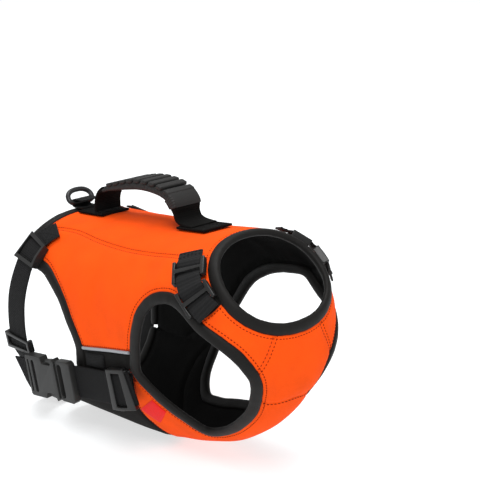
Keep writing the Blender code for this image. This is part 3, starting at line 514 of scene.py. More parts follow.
def seam_lines():
    paths = [route(BOTTOM_SEAM), route(PIPING_RIGHT), route(BAND_EDGE_RIGHT), route(PIPING_LEFT),
             route(LOWER_EDGE_LEFT), route(BAND_EDGE_LEFT), between(WING, "right", "left")]
    for side in (RIGHT, LEFT):
        paths += [back_seam(side), tip_edge(side), gusset_edge(side), chest_seam(side)]
    return SewnLines(paths)


def bound_lines():
    return SewnLines([neck_arc(0, 360), REAR[0], PAD[0], LEG_EDGE[RIGHT][0], LEG_EDGE[LEFT][0]])


def hollow(distance, width):
    """A smooth bump of height 1 where the distance is 0."""
    return np.exp(-(distance / width) ** 2)


def creases(points):
    """Heights of the soft folds and dents listed in CREASES."""
    height = np.zeros(len(points))
    for station, angle, heading, length, width, depth in CREASES:
        centre = body(station, angle)
        ahead, round_ring = tangent_axes(station, angle)
        turn = math.radians(heading)
        along = ahead * math.cos(turn) + round_ring * math.sin(turn)
        away = points - centre
        run = away @ along
        aside = np.linalg.norm(away - run[:, None] * along, axis=1)
        height += CREASE_STRENGTH * depth * hollow(run, length) * hollow(aside, width)
    return height


def swell(points):
    """A slow rise and fall all over the cloth."""
    x, y, z = points.T
    return (0.30 * np.sin(x / 17 + 1.3) * np.sin(y / 23 + z / 31)
            + 0.16 * np.sin(y / 11 - z / 13 + 0.7) * np.sin(x / 9 + z / 19))


class Relief:
    """How far the cloth's face stands above or below the body."""

    def __init__(self):
        self.seams, self.bounds = seam_lines(), bound_lines()

    def height(self, points):
        flat = points.reshape(-1, 3)
        seam, bound = self.seams.distance(flat), self.bounds.distance(flat)
        depth = settings().seam_depth
        drawn = (-depth * (hollow(seam, 1.3) + 0.8 * hollow(bound, 2.0))
                 - STITCH_DENT * (hollow(seam - DOUBLE_STITCH, 0.8)
                                  + hollow(bound - TOPSTITCH, 0.9)))
        nearest = np.minimum(seam, bound)
        x, y, z = flat.T
        pucker = np.sin(x * 0.83 + z * 0.61) * np.sin(y * 0.79 - z * 0.57)
        drawn += PUCKER_HEIGHT * pucker * hollow(nearest - 4.0, 3.4)
        drawn += PUFF_HEIGHT * hollow(nearest - 7.0, 4.0)
        free = 1 - hollow(nearest, 6.0)
        return (drawn + free * (creases(flat) + swell(flat))).reshape(points.shape[:-1])


# Mesh objects

def linked(name, data):
    """A new object in the scene."""
    thing = bpy.data.objects.new(name, data)
    bpy.context.scene.collection.objects.link(thing)
    return thing


def add_mesh(name, points, faces, finishes, corner_uvs, sharp=SHARP, face_finish=None):
    """A mesh object from points in millimetres, its faces turned outwards."""
    mesh = bpy.data.meshes.new(name)
    mesh.from_pydata((np.asarray(points, float) * METRES).tolist(), [], faces)
    layer = mesh.uv_layers.new(name="UVMap")
    layer.data.foreach_set("uv", np.ravel(np.asarray(corner_uvs, float) / UV_UNIT))
    if face_finish is not None:
        mesh.polygons.foreach_set("material_index", np.asarray(face_finish, np.int32))
    work = bmesh.new()
    work.from_mesh(mesh)
    bmesh.ops.recalc_face_normals(work, faces=work.faces)
    work.to_mesh(mesh)
    work.free()
    for finish in finishes:
        mesh.materials.append(finish_of(finish))
    mesh.shade_smooth()
    mesh.set_sharp_from_angle(angle=math.radians(sharp))
    return linked(name, mesh)


def dress(thing, slot, *nodes, carrier="vest"):
    """Puts a finished piece on its body, in place of its solids."""
    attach(thing, carrier)
    if nodes:
        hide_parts(*nodes)
    return thing


def finished(thing):
    """The object with its modifiers made into plain mesh."""
    bpy.context.view_layer.update()
    graph = bpy.context.evaluated_depsgraph_get()
    made = bpy.data.meshes.new_from_object(thing.evaluated_get(graph), depsgraph=graph)
    thing.modifiers.clear()
    thing.data = made
    return thing


def grid_uvs(outer):
    """Distances along the two ways of a grid of points, in millimetres."""
    along = np.linalg.norm(np.diff(outer, axis=1), axis=2)
    across = np.linalg.norm(np.diff(outer, axis=0), axis=2)
    u = np.concatenate([np.zeros((len(outer), 1)), np.cumsum(along, axis=1)], 1)
    v = np.concatenate([np.zeros((1, outer.shape[1])), np.cumsum(across, axis=0)], 0)
    return np.stack([u, v], -1)


def grid_shell(name, outer, inner, finishes):
    """A closed wall between two grids of points. A second finish lies on the inner face."""
    across, along = outer.shape[:2]
    count = across * along
    points = np.concatenate([outer.reshape(-1, 3), inner.reshape(-1, 3)])
    uvs = np.tile(grid_uvs(outer).reshape(-1, 2), (2, 1))
    grid = np.arange(count).reshape(across, along)
    first = grid[:-1, :-1].ravel()
    top = np.stack([first, first + along, first + along + 1, first + 1], 1)
    rim = np.concatenate([grid[:, 0], grid[-1, 1:], grid[-2::-1, -1], grid[0, -2:0:-1]])
    following = np.roll(rim, -1)
    side = np.stack([rim, following, following + count, rim + count], 1)
    faces = np.concatenate([top, top[:, ::-1] + count, side[:, ::-1]])
    which = np.zeros(len(faces), int)
    if len(finishes) > 1:
        which[len(top):] = 1
    return add_mesh(name, points, faces.tolist(), finishes, uvs[faces.ravel()], face_finish=which)


def sweep(name, centres, side_axes, up_axes, section, closed, finish, sharp=SHARP):
    """A section of side and up distances carried along centres, one section or one for each."""
    count = len(centres)
    section = np.broadcast_to(np.asarray(section, float), (count,) + np.shape(section)[-2:])
    size = section.shape[1]
    points = (centres[:, None] + side_axes[:, None] * section[..., :1]
              + up_axes[:, None] * section[..., 1:]).reshape(-1, 3)
    along = distances_along(np.concatenate([centres, centres[:1]]) if closed else centres)
    rounded = distances_along(np.concatenate([section[0], section[0, :1]]))
    faces, uvs = [], []
    for i in range(count if closed else count - 1):
        following = (i + 1) % count
        for j in range(size):
            k = (j + 1) % size
            faces.append((i * size + j, following * size + j, following * size + k, i * size + k))
            uvs += [(along[i], rounded[j]), (along[i + 1], rounded[j]),
                    (along[i + 1], rounded[j + 1]), (along[i], rounded[j + 1])]
    if not closed:
        for end in (0, count - 1):
            faces.append(tuple(range(end * size, end * size + size)))
            uvs += [(along[end] + s[1], rounded[n]) for n, s in enumerate(section[end])]
    return add_mesh(name, points, faces, (finish,), uvs, sharp)


# Materials

class Channel:
    """A shader socket that Python's operators work on."""

    def __init__(self, tree, socket):
        self.tree, self.socket = tree, socket

    def maths(self, operation, *others):
        node = self.tree.nodes.new("ShaderNodeMath")
        node.operation = operation
        for slot, value in zip(node.inputs, others):
            feed(self.tree, slot, value)
        return Channel(self.tree, node.outputs[0])

    def __add__(self, other):
        return self.maths("ADD", self, other)

    def __radd__(self, other):
        return self.maths("ADD", other, self)

    def __sub__(self, other):
        return self.maths("SUBTRACT", self, other)

    def __mul__(self, other):
        return self.maths("MULTIPLY", self, other)

    def __truediv__(self, other):
        return self.maths("DIVIDE", self, other)

    def phase(self, period):
        """The angle of a wave along a UV direction, its period in millimetres."""
        return self * UV_UNIT * math.tau / period

    def sine(self):
        return self.maths("SINE", self)

    def size(self):
        return self.maths("ABSOLUTE", self)

    def over(self, edge):
        return self.maths("GREATER_THAN", self, edge)


def feed(tree, slot, value):
    """Links a channel into a socket, or sets the socket to a plain value."""
    if isinstance(value, Channel):
        tree.links.new(value.socket, slot)
    else:
        slot.default_value = value


class Finish:
    """A material in the making."""

    def __init__(self, name, roughness, specular, metallic=0.0):
        self.material = bpy.data.materials.new(name)
        self.material.use_nodes = True
        self.tree = self.material.node_tree
        self.shader = self.tree.nodes["Principled BSDF"]
        self.set("Roughness", roughness)
        self.set("Specular IOR Level", specular)
        self.set("Metallic", metallic)

    def set(self, name, value):
        feed(self.tree, self.shader.inputs[name], value)

    def node(self, kind, output, **values):
        made = self.tree.nodes.new("ShaderNode" + kind)
        for name, value in values.items():
            feed(self.tree, made.inputs[name], value)
        return Channel(self.tree, made.outputs[output])

    def parts(self, kind):
        """The three parts of a texture coordinate, such as UV or Object."""
        split = self.tree.nodes.new("ShaderNodeSeparateXYZ")
        feed(self.tree, split.inputs[0], self.node("TexCoord", kind))
        return [Channel(self.tree, socket) for socket in split.outputs]

    def noise(self, scale, detail=2.0):
        place = self.node("TexCoord", "Object")
        return self.node("TexNoise", "Fac", Vector=place, Scale=scale, Detail=detail)

    def blend(self, share, dark, light):
        """Colours the surface from one colour to another, by a share."""
        mix = self.tree.nodes.new("ShaderNodeMix")
        mix.data_type = "RGBA"
        factor, first, second = mix.inputs[0], mix.inputs[6], mix.inputs[7]
        for socket, value in ((factor, share), (first, dark), (second, light)):
            feed(self.tree, socket, value)
        self.set("Base Color", Channel(self.tree, mix.outputs[2]))

    def tint(self, share, colour, dark, light):
        """The same from a darker to a lighter shade of one colour."""
        self.blend(share, shade(colour, dark), shade(colour, light))

    def bump(self, height, strength, distance=0.0002):
        self.set("Normal", self.node("Bump", "Normal", Height=height, Strength=strength,
                                     Distance=distance))


def shade(colour, factor):
    return (*[min(1.0, c * factor) for c in colour], 1.0)


def knit(name, colour, specular, roughness=0.85):
    """Smooth jersey on foam: fine wales and courses, a slow mottle, faint pilling."""
    finish = Finish(name, roughness, specular)
    u, v, _ = finish.parts("UV")
    wales = u.phase(1.15).sine()
    courses = (v.phase(0.8) + wales * 1.1).sine()
    mottle, grain = finish.noise(38, 3), finish.noise(900)
    finish.tint(mottle * 0.8 + grain * 0.35, colour, 0.72, 1.15)
    finish.bump(wales * 0.3 + courses * 0.35 + grain * 0.8, 0.22, 0.00025)
    finish.set("Roughness", roughness - 0.08 + mottle * 0.12)
    return finish.material


def woven(name, colour, rib=1.7, specular=0.15):
    """Webbing: ribs across it and a finer twill along it."""
    finish = Finish(name, 0.8, specular)
    u, v, _ = finish.parts("UV")
    ribs, twill = u.phase(rib).sine(), (v.phase(1.3) + u.phase(3.4)).sine()
    grain = finish.noise(700)
    finish.tint(ribs * 0.22 + twill * 0.12 + grain * 0.5 + 0.2, colour, 0.62, 1.5)
    finish.bump(ribs * 0.5 + twill * 0.3 + grain * 0.35, 0.55, 0.0004)
    finish.set("Roughness", 0.68 + grain * 0.22)
    return finish.material


def moulded(name, colour, roughness, specular):
    """Moulded plastic with a fine spark-eroded grain."""
    finish = Finish(name, roughness, specular)
    cloud = finish.noise(60, 3)
    finish.tint(cloud, colour, 0.85, 1.15)
    finish.set("Roughness", roughness - 0.06 + cloud * 0.14)
    finish.bump(finish.noise(1500), 0.12)
    return finish.material


def rubber(name, colour):
    """The grip's rubber: fine ribs down its sides, a dull grain on top."""
    finish = Finish(name, 0.62, 0.28)
    sides = finish.parts("Object")[0].size().over(GRIP_SIDE * METRES)
    ribs = finish.parts("UV")[0].phase(1.9).sine() * sides
    grain, cloud = finish.noise(1100, 3), finish.noise(70)
    finish.tint(cloud * 0.6 + ribs * 0.2 + 0.2, colour, 0.7, 1.25)
    finish.set("Roughness", 0.55 + grain * 0.2)
    finish.bump(ribs * 0.8 + grain * 0.5, 0.5, 0.0005)
    return finish.material


def coated_metal(name, colour):
    """A ring with a dark satin coat, its wear brighter."""
    finish = Finish(name, 0.36, 0.5, metallic=0.7)
    wear = finish.noise(160, 4)
    finish.tint(wear, colour, 0.8, 1.35)
    finish.set("Roughness", 0.3 + wear * 0.2)
    finish.bump(finish.noise(900), 0.08)
    return finish.material


def reflective(name, colour):
    """Grey reflective tape with its fine cross hatch."""
    finish = Finish(name, 0.4, 0.5)
    u, v, _ = finish.parts("UV")
    hatch = (u + v).phase(1.1).sine() * (u - v).phase(1.1).sine()
    finish.tint(hatch * 0.4 + 0.5, colour, 0.85, 1.15)
    finish.set("Roughness", 0.36 + hatch * 0.06)
    finish.bump(hatch, 0.15)
    return finish.material


def satin(name, colour):
    """A woven satin label."""
    finish = Finish(name, 0.5, 0.1)
    u, v, _ = finish.parts("UV")
    weft = u.phase(0.7).sine() * 0.5 + v.phase(0.5).sine() * 0.5
    grain = finish.noise(500)
    finish.tint(grain, colour, 0.88, 1.1)
    finish.set("Roughness", 0.45 + grain * 0.12)
    finish.bump(weft * 0.5 + grain * 0.5, 0.3)
    return finish.material


def yarn(name, colour):
    """Twisted sewing thread."""
    finish = Finish(name, 0.8, 0.08)
    grain = finish.noise(1800)
    finish.tint(grain, colour, 0.75, 1.25)
    finish.bump(grain, 0.3)
    return finish.material


def paper_floor(name):
    """White paper that glows a little, as an even light would make it look."""
    finish = Finish(name, 0.9, 0.0)
    finish.blend(finish.noise(1.2, 1), (0.49, 0.51, 0.52, 1), (0.51, 0.53, 0.54, 1))
    finish.set("Emission Color", (1, 1, 1, 1))
    finish.set("Emission Strength", 0.64)
    return finish.material


PLASTIC_BLACK = (0.018, 0.018, 0.0175)
WEBBING_BLACK = (0.0075, 0.0075, 0.0078)
FINISHES = {
    "orange knit": lambda name: knit(name, settings().orange, 0.08),
    "black knit": lambda name: knit(name, settings().black, 0.12),
    "black lining": lambda name: knit(name, (0.0028, 0.0027, 0.0026), 0.045, 0.7),
    "binding knit": lambda name: knit(name, settings().black, 0.16, 0.58),
    "black webbing": lambda name: woven(name, WEBBING_BLACK),
    "belt webbing": lambda name: woven(name, (0.0065, 0.0065, 0.0068), 1.1),
    "ribbed webbing": lambda name: woven(name, WEBBING_BLACK, 3.0, 0.2),
    "handle webbing": lambda name: woven(name, (0.0030, 0.0028, 0.0026), 1.9, 0.07),
    "black plastic": lambda name: moulded(name, PLASTIC_BLACK, 0.45, 0.26),
    "slider plastic": lambda name: moulded(name, (0.0105, 0.0105, 0.0103), 0.33, 0.34),
    "grip rubber": lambda name: rubber(name, (0.013, 0.0125, 0.012)),
    "ring coat": lambda name: coated_metal(name, (0.028, 0.028, 0.029)),
    "reflective tape": lambda name: reflective(name, (0.27, 0.28, 0.30)),
    "red label": lambda name: satin(name, (0.76, 0.008, 0.007)),
    # Stitches on orange cloth: a thread darkened as painted shade of the stitch holes.
    "orange thread": lambda name: yarn(name, settings().thread),
    "black thread": lambda name: yarn(name, (0.010, 0.010, 0.010)),
    "floor": paper_floor,
}


def finish_of(name):
    return bpy.data.materials.get(name) or FINISHES[name](name)


# Cloth


def inside_outline(point, outline):
    """Whether a flat point lies inside a flat closed outline."""
    x, y = outline[:, 0], outline[:, 1]
    following_x, following_y = np.roll(x, -1), np.roll(y, -1)
    spans = (y > point[1]) != (following_y > point[1])
    with np.errstate(divide="ignore", invalid="ignore"):
        crossing = x + (point[1] - y) * (following_x - x) / (following_y - y)
    return np.count_nonzero(spans & (crossing > point[0])) % 2 == 1


def cloth_faces(places, relief):
    """The cloth's outer and inner face: its wall is thin at a seam and thick at a raised fold."""
    base, normals = surface(places)
    height = relief.height(base)[..., None]
    return base + normals * height, base - normals * (settings().wall + LINING_SHARE * height)


def outlined_cloth(node, edges, relief, slot, spacing=3.2):
    """A piece of cloth of any shape, inside a closed outline of places."""
    flat = np.concatenate(edges) * FLAT_SCALE
    x, y = flat.T
    if (x * np.roll(y, -1) - np.roll(x, -1) * y).sum() < 0:
        flat = flat[::-1]
    lines = [np.arange(low + spacing / 2, high, spacing)
             for low, high in zip(flat.min(axis=0), flat.max(axis=0))]
    inner = [np.array((x, y)) for x in lines[0] for y in lines[1]]
    inner = [p for p in inner if inside_outline(p, flat)
             and np.linalg.norm(flat - p, axis=1).min() > 0.55 * spacing]
    every = np.concatenate([flat, np.reshape(inner, (-1, 2))])
    count = len(flat)
    corners, _, triangles, origins, _, _ = delaunay_2d_cdt(
        [tuple(map(float, p)) for p in every], [], [list(range(count))], 1, 1e-6)
    corners = np.array([tuple(v) for v in corners])
    order = {old: new for new, olds in enumerate(origins) for old in olds}
    rim = np.array([order[n] for n in range(count)])
    outer, inner = cloth_faces(corners / FLAT_SCALE, relief)
    total = len(outer)
    top = [tuple(t) for t in triangles]
    faces = top + [tuple(n + total for n in t[::-1]) for t in top]
    faces += [(a, b, b + total, a + total) for a, b in zip(rim, np.roll(rim, -1))]
    which = [0] * len(top) + [1] * (len(faces) - len(top))
    uvs = np.tile(corners, (2, 1))[np.concatenate([np.array(f) for f in faces])]
    thing = add_mesh(node + "_cloth", np.concatenate([outer, inner]), faces, CLOTHS[slot], uvs,
                     face_finish=which)
    dress(thing, slot, node)


def cut_cloth(node, places, relief, slot="orange_cloth"):
    """A piece of cloth over a grid of places on the body."""
    thing = grid_shell(node + "_cloth", *cloth_faces(places, relief), CLOTHS[slot])
    dress(thing, slot, node)


def back_cloth(relief):
    angle = BACK_SEAM[-1][1]
    places = patch(back_seam(RIGHT), back_seam(LEFT), between(REAR, "right_seam", "left_seam"),
                   neck_arc(-angle, angle), 22 * FINE, 8 * FINE)
    cut_cloth("back_panel", places, relief)


def side_cloth(side, relief):
    if side == RIGHT:
        rear = between(REAR, "right_seam", "right_band")
        lower = [(route(PIPING_RIGHT), 10 / 28)]
    else:
        rear = between(REAR, "left_seam", "left_pad")
        lower = [(route(LOWER_EDGE_LEFT), 5 / 28), (route(PIPING_LEFT), 10 / 28)]
    lower += [(around(LEG_EDGE[side], "piping", "gusset_rear"), 24 / 28), (tip_edge(side), 1)]
    neck = neck_arc(side * BACK_SEAM[-1][1], side * NECK_TIP)
    places = patch(back_seam(side), joined(*lower), rear, neck, 28 * FINE, 10 * FINE)
    cut_cloth("side_panel_" + suffix(side), places, relief)


def band_cloth(side, relief):
    front = backwards(around(LEG_EDGE[side], "wing", "piping"))
    if side == RIGHT:
        rear = backwards(between(REAR, "right_end", "right_band"))
        places = patch(route(PIPING_RIGHT), route(BAND_EDGE_RIGHT), rear, front, 10 * FINE,
                       3 * FINE)
        cut_cloth("side_band_right", places, relief, "black_cloth")
    else:
        outline = [cells(route(PIPING_LEFT), 5 * FINE), cells(front, 2 * FINE),
                   cells(backwards(route(BAND_EDGE_LEFT)), 6 * FINE)]
        outlined_cloth("side_band_left", outline, relief, "black_cloth", 2.0)


def shoulder_cloth(side, relief):
    """The gusset between neck and leg hole, and the side of the chest in front of it."""
    marks = ("gusset_rear", "gusset_front", "chest_seam")
    angles = (NECK_TIP, NECK_GUSSET, NECK_SEAM)
    seams = (tip_edge(side), gusset_edge(side), chest_seam(side))
    for n, (name, across, slot) in enumerate((("shoulder_gusset_", 2, "black_cloth"),
                                              ("chest_side_", 10, "orange_cloth"))):
        leg = around(LEG_EDGE[side], marks[n], marks[n + 1])
        neck = neck_arc(side * angles[n], side * angles[n + 1])
        places = patch(leg, neck, seams[n], seams[n + 1], across * FINE, 4 * FINE)
        cut_cloth(name + suffix(side), places, relief, slot)


def chest_cloth(relief):
    right, left = [joined((backwards(chest_seam(side)), 4 / 8),
                          (around(LEG_EDGE[side], "chest_seam", "bottom_seam"), 1))
                   for side in (RIGHT, LEFT)]
    neck = neck_arc(-NECK_SEAM, NECK_SEAM - 360)
    places = patch(neck, route(BOTTOM_SEAM), right, turned_on(left, -360), 12 * FINE, 8 * FINE)
    cut_cloth("chest_centre", places, relief)


def belly_cloth(relief):
    wing = cells(between(WING, "right", "left"), 20 * FINE)
    right = around(LEG_EDGE[RIGHT], "bottom_seam", "wing")
    left = turned_on(around(LEG_EDGE[LEFT], "bottom_seam", "wing"), -360)
    outline = [cells(right, 16 * FINE), wing, cells(backwards(left), 16 * FINE),
               cells(backwards(route(BOTTOM_SEAM)), 12 * FINE)]
    outlined_cloth("belly_panel", outline, relief, "orange_cloth")
    outline = [wing, cells(turned_on(backwards(route(BAND_EDGE_LEFT)), -360), 6 * FINE),
               cells(turned_on(backwards(route(LOWER_EDGE_LEFT)), -360), 5 * FINE),
               cells(backwards(between(PAD, "right_rear", "left_rear")), 14 * FINE),
               cells(backwards(between(PAD, "right_wing", "right_rear")), 14 * FINE)]
    outlined_cloth("belly_pad", outline, relief, "black_cloth")


# Bindings

def roll_section(fullness):
    """A padded roll beside the edge: out from it, and above the body."""
    turns = np.linspace(0, math.tau, 20, endpoint=False)
    out, up = [np.sign(wave) * np.abs(wave) ** 0.85 for wave in (np.cos(turns), np.sin(turns))]
    return np.stack([ROLL_OUT + ROLL_HALF_WIDTH * fullness[:, None] * out,
                     ROLL_UP + ROLL_HALF_HEIGHT * fullness[:, None] * up], -1)


def roll(node, places, towards, closed=False):
    """A padded binding beside the edge that runs through places."""
    points, normals = surface(places)
    aside = side_towards(points, normals, closed, towards)
    loop = distances_along(points)
    turns = math.tau * loop / (loop[-1] + (loop[1] if closed else 0))
    fullness = 1 + sum(height * np.sin(turns * waves + shift)
                       for height, waves, shift in ROLL_WAVES)
    if not closed:
        ends = np.minimum(loop, loop[-1] - loop)
        fullness *= 0.62 + 0.38 * np.clip(ends / 4.0, 0, 1) ** 0.5
    section = roll_section(fullness * settings().roll_fullness)
    thing = sweep(node + "_roll", points, aside, normals, section, closed, "binding knit", 70)
    dress(thing, "binding", node)


def bindings():
    roll("neck_binding", cells(neck_arc(0, 360), 40 * FINE), (1.06, 90), closed=True)
    for side in (RIGHT, LEFT):
        places = [cells(around(LEG_EDGE[side], a, b), n * FINE) for a, b, n in LEG_CELLS]
        roll("leg_binding_" + suffix(side), np.concatenate(places), (0.76, 100 * side),
             closed=True)
    marks = ("right_end", "right_band", "right_seam", "left_seam", "left_pad")
    edges = [between(REAR, a, b) for a, b in zip(marks, marks[1:])]
    places = [cells(edge, n * FINE) for edge, n in zip(edges, (2, 10, 8, 10))]
    roll("rear_binding", np.concatenate(places + [edges[-1](ROLL_END)]), (-0.04, 0))
    right = between(PAD, "right_wing", "right_rear")
    rear = between(PAD, "right_rear", "left_rear")
    places = [cells(right, 14 * FINE)[FINE:], cells(rear, 14 * FINE), rear(ROLL_END)]
    roll("belly_binding", np.concatenate(places), (0.02, -180))


# Webbing

class Run:
    """A webbing's course over the body, by the distance along it.

    upright is the share of the body's overhang that the webbing's face doesn't follow.
    """

    def __init__(self, rows, upright=0.0):
        self.rows = np.array(rows, float)
        self.upright = upright
        self.keys = run_lengths(self.rows)
        self.length = self.keys[-1]

    def centre(self, distance):
        row = smooth(self.keys, self.rows, distance)
        points, normals = surface(row)
        return points + normals * row[..., 2:]

    def frame(self, distance):
        """The course's point at a distance, and the axes along it, across it and out."""
        distance = np.asarray(distance, float)
        row = smooth(self.keys, self.rows, distance)
        along = unit(self.centre(distance + 0.5) - self.centre(distance - 0.5))
        out = outward(row[..., 0], row[..., 1]) * (1, 1, 1 - self.upright)
        out = unit(out - along * (out * along).sum(-1, keepdims=True))
        return self.centre(distance), along, np.cross(along, out), out

    def where(self, column, value):
        """The distance at which the station, column 0, or the angle, column 1, has a value."""
        tried = np.linspace(0, self.length, 801)
        found = smooth(self.keys, self.rows, tried)[:, column]
        return float(tried[np.argmin(np.abs(found - value))])


def webbing_section(width, thick):
    half, edge = width / 2, thick * 0.55
    return ((-half + edge, 0), (0, 0), (half - edge, 0), (half, thick * 0.3), (half, thick * 0.7),
            (half - edge, thick), (half * 0.5, thick * 1.04), (0, thick * 1.06),
            (-half * 0.5, thick * 1.04), (-half + edge, thick), (-half, thick * 0.7),
            (-half, thick * 0.3))


def strap(node, run, start, end, width, thick, lift=None, material="black webbing"):
    """A flat strap along part of a run, lifted where it passes over bars."""
    steps = max(3, round((end - start) / 1.6))
    distances = np.linspace(start, end, steps + 1)
    centres, _, aside, out = run.frame(distances)
    if lift:
        centres = centres + out * lift(distances)[:, None]
    thing = sweep(node + "_webbing", centres, aside, out, webbing_section(width, thick), False,
                  material, 60)
    dress(thing, "webbing", node)


def rounded_box(columns, rows, levels, filled):
    """A flat bmesh of the filled cells between lines of columns, rows and levels."""
    work = bmesh.new()
    size = (len(columns) - 1, len(rows) - 1, len(levels) - 1)
    numbers = {}

    def solid(cell):
        return all(0 <= c < n for c, n in zip(cell, size)) and filled(*cell)

    def corner_vertex(corner):
        if corner not in numbers:
            i, j, k = corner
            numbers[corner] = work.verts.new((columns[i], rows[j], levels[k]))
        return numbers[corner]

    for cell in np.ndindex(*size):
        if not solid(cell):
            continue
        for axis in range(3):
            for side in (0, 1):
                beside = list(cell)
                beside[axis] += 2 * side - 1
                if solid(tuple(beside)):
                    continue
                a, b = [n for n in range(3) if n != axis]
                ring = []
                for da, db in ((0, 0), (1, 0), (1, 1), (0, 1)):
                    corner = list(cell)
                    corner[axis] += side
                    corner[a] += da
                    corner[b] += db
                    ring.append(corner_vertex(tuple(corner)))
                work.faces.new(ring)
    return work


def softened(work, amount):
    """Rounds a flat bmesh's hard edges and turns its faces outwards."""
    bmesh.ops.recalc_face_normals(work, faces=work.faces)
    bmesh.ops.dissolve_limit(work, angle_limit=math.radians(1), verts=work.verts, edges=work.edges)
    hard = [e for e in work.edges if len(e.link_faces) == 2 and e.calc_face_angle() > 0.5]
    bmesh.ops.bevel(work, geom=hard, offset=amount, segments=3, profile=0.6,
                    affect="EDGES", clamp_overlap=True)
    return work


def set_down(name, works, place, material, sharp=40):
    """One object from flat bmeshes, each point put where place says."""
    points, faces = [], []
    for work in works:
        work.verts.index_update()
        offset = len(points)
        points += [tuple(v.co) for v in work.verts]
        faces += [tuple(v.index + offset for v in f.verts) for f in work.faces]
        work.free()
    flat = np.array(points)
    placed = place(flat[:, 0:1], flat[:, 1], flat[:, 2:3])
    corners = np.concatenate([np.array(f) for f in faces])
    return add_mesh(name, placed, faces, (material,), flat[corners][:, :2], sharp)


def on_run(run, at, rigid=False):
    """How a body's column, row and level lie on a run: across it, along it and above it."""
    def place(column, row, level):
        centre, along, aside, out = run.frame(at + (0 * row if rigid else row))
        if rigid:
            centre = centre + along * row[:, None]
        return centre + aside * column + out * level
    return place


def slider(node, run, at, length, width=STRAP_WIDTH, thick=WEBBING, centre_bar=True,
           bar_over=False, end_bar=SLIDER_BAR):
    """A slider: end bars over its webbing and a centre bar under it, or the other way round."""
    half, end = width / 2 + CLEAR + 0.2, length / 2
    columns = (-half - SLIDER_BAR, -half, half, half + SLIDER_BAR)
    rows = (-end, -end + end_bar, -SLIDER_BAR / 2, SLIDER_BAR / 2, end - end_bar, end)
    levels = (-CLEAR - SLIDER_THICK + 0.4, -CLEAR, thick + CLEAR, thick + CLEAR + SLIDER_THICK)
    ends_level, centre_level = (0, 2) if bar_over else (2, 0)

    def filled(i, j, k):
        if i != 1:
            return True
        return (j in (0, 4) and k == ends_level) or (centre_bar and j == 2 and k == centre_level)

    work = softened(rounded_box(columns, rows, levels, filled), 0.75)
    thing = set_down(node + "_plastic", [work], on_run(run, at), "slider plastic")
    dress(thing, "plastic", node)


def over_bars(places, length, rise, dip):
    """The lift of a strap that goes over a slider's end bars and under its centre bar."""
    def lift(distance):
        total = np.zeros_like(distance)
        for at in places:
            for end in (-1, 1):
                total += rise * hollow(distance - at - end * (length / 2 - SLIDER_BAR / 2), 3.2)
            total += dip * hollow(distance - at, 2.6)
        return total
    return lift


def shoulder_straps():
    for side in (RIGHT, LEFT):
        run = Run([(s, a * side, h) for s, a, h in SHOULDER_ROUTE])
        places = [run.where(1, angle * side) for angle in SHOULDER_SLIDERS]
        weave = over_bars(places, SHOULDER_SLIDER_LENGTH, 1.7, -1.3)
        middle = sum(places) / 2

        def lift(distance):
            return weave(distance) + 0.9 * hollow(distance - middle, 6.0)

        strap("shoulder_strap_" + suffix(side), run, 0.0, run.length, SHOULDER_STRAP_WIDTH,
              WEBBING, lift, "ribbed webbing")
        for name, at in zip(("upper", "lower"), places):
            slider("shoulder_slider_" + name + "_" + suffix(side), run, at,
                   width=SHOULDER_STRAP_WIDTH, length=SHOULDER_SLIDER_LENGTH, bar_over=True)


def girth():
    """One webbing from the right rear strap under the belly to the left rear strap."""
    run = Run(GIRTH_ROUTE)
    right, left = run.where(1, CORNER_RIGHT), run.where(1, CORNER_LEFT)
    for node, start, end in (("rear_strap_right", 0.0, right + 0.3),
                             ("girth_strap", right - 0.3, left + 0.3),
                             ("rear_strap_left", left - 0.3, run.length)):
        strap(node, run, start, end, STRAP_WIDTH, WEBBING)
    for name, angle in GIRTH_SLIDERS.items():
        slider(name, run, run.where(1, angle), length=REAR_SLIDER_LENGTH)
    slider("corner_ring_right", run, right, width=27.0, length=14.0, centre_bar=False)
    slider("lower_slider_left", run, left, length=24.0, centre_bar=False)


def flat_plate(outline, holes, low, high, bevel):
    """A plate of a flat outline with holes, from one level to another."""
    loops = [outline] + holes
    numbers, start = [], 0
    for loop in loops:
        numbers.append(list(range(start, start + len(loop))))
        start += len(loop)
    every = [tuple(map(float, p)) for loop in loops for p in loop]
    edges = [(n, loop[(i + 1) % len(loop)]) for loop in numbers for i, n in enumerate(loop)]
    corners, _, triangles, *_ = delaunay_2d_cdt(every, edges, [], 0, 1e-5)
    corners = np.array([tuple(v) for v in corners])
    work = bmesh.new()
    vertices = [work.verts.new((x, y, low)) for x, y in corners]
    for triangle in triangles:
        middle = corners[list(triangle)].mean(axis=0)
        inside, *in_holes = [inside_outline(middle, np.array(loop)) for loop in loops]
        if inside and not any(in_holes):
            work.faces.new([vertices[n] for n in triangle])
    loose = [v for v in work.verts if not v.link_faces]
    bmesh.ops.delete(work, geom=loose, context="VERTS")
    made = bmesh.ops.extrude_face_region(work, geom=list(work.faces))
    moved = [v for v in made["geom"] if isinstance(v, bmesh.types.BMVert)]
    bmesh.ops.translate(work, verts=moved, vec=(0, 0, high - low))
    return softened(work, bevel)


def slot_hole(column, first, last):
    """A slot across a buckle, its ends rounded."""
    half, middle = abs(last - first) / 2, (first + last) / 2
    return (arc((column - half, middle), half, -90, 90)
            + arc((half - column, middle), half, 90, 270))


def socket_outline():
    """The buckle socket's face: rear at 0, with a rounded bite out of each side."""
    half, front, bite, rounding = BUCKLE_WIDTH / 2, -SOCKET_LENGTH, 6.0, 2.4
    side = [(half - 1.5, 0), (half, -2.0), (half, -22.5)]
    side += arc((half - bite + rounding, -26.0), rounding, 90, 180, 5)
    side += arc((half - bite + rounding, -35.0), rounding, 180, 270, 5)
    side += [(half, -38.6), (half, front + 2.5), (half - 2.5, front)]
    return side + mirrored(side)


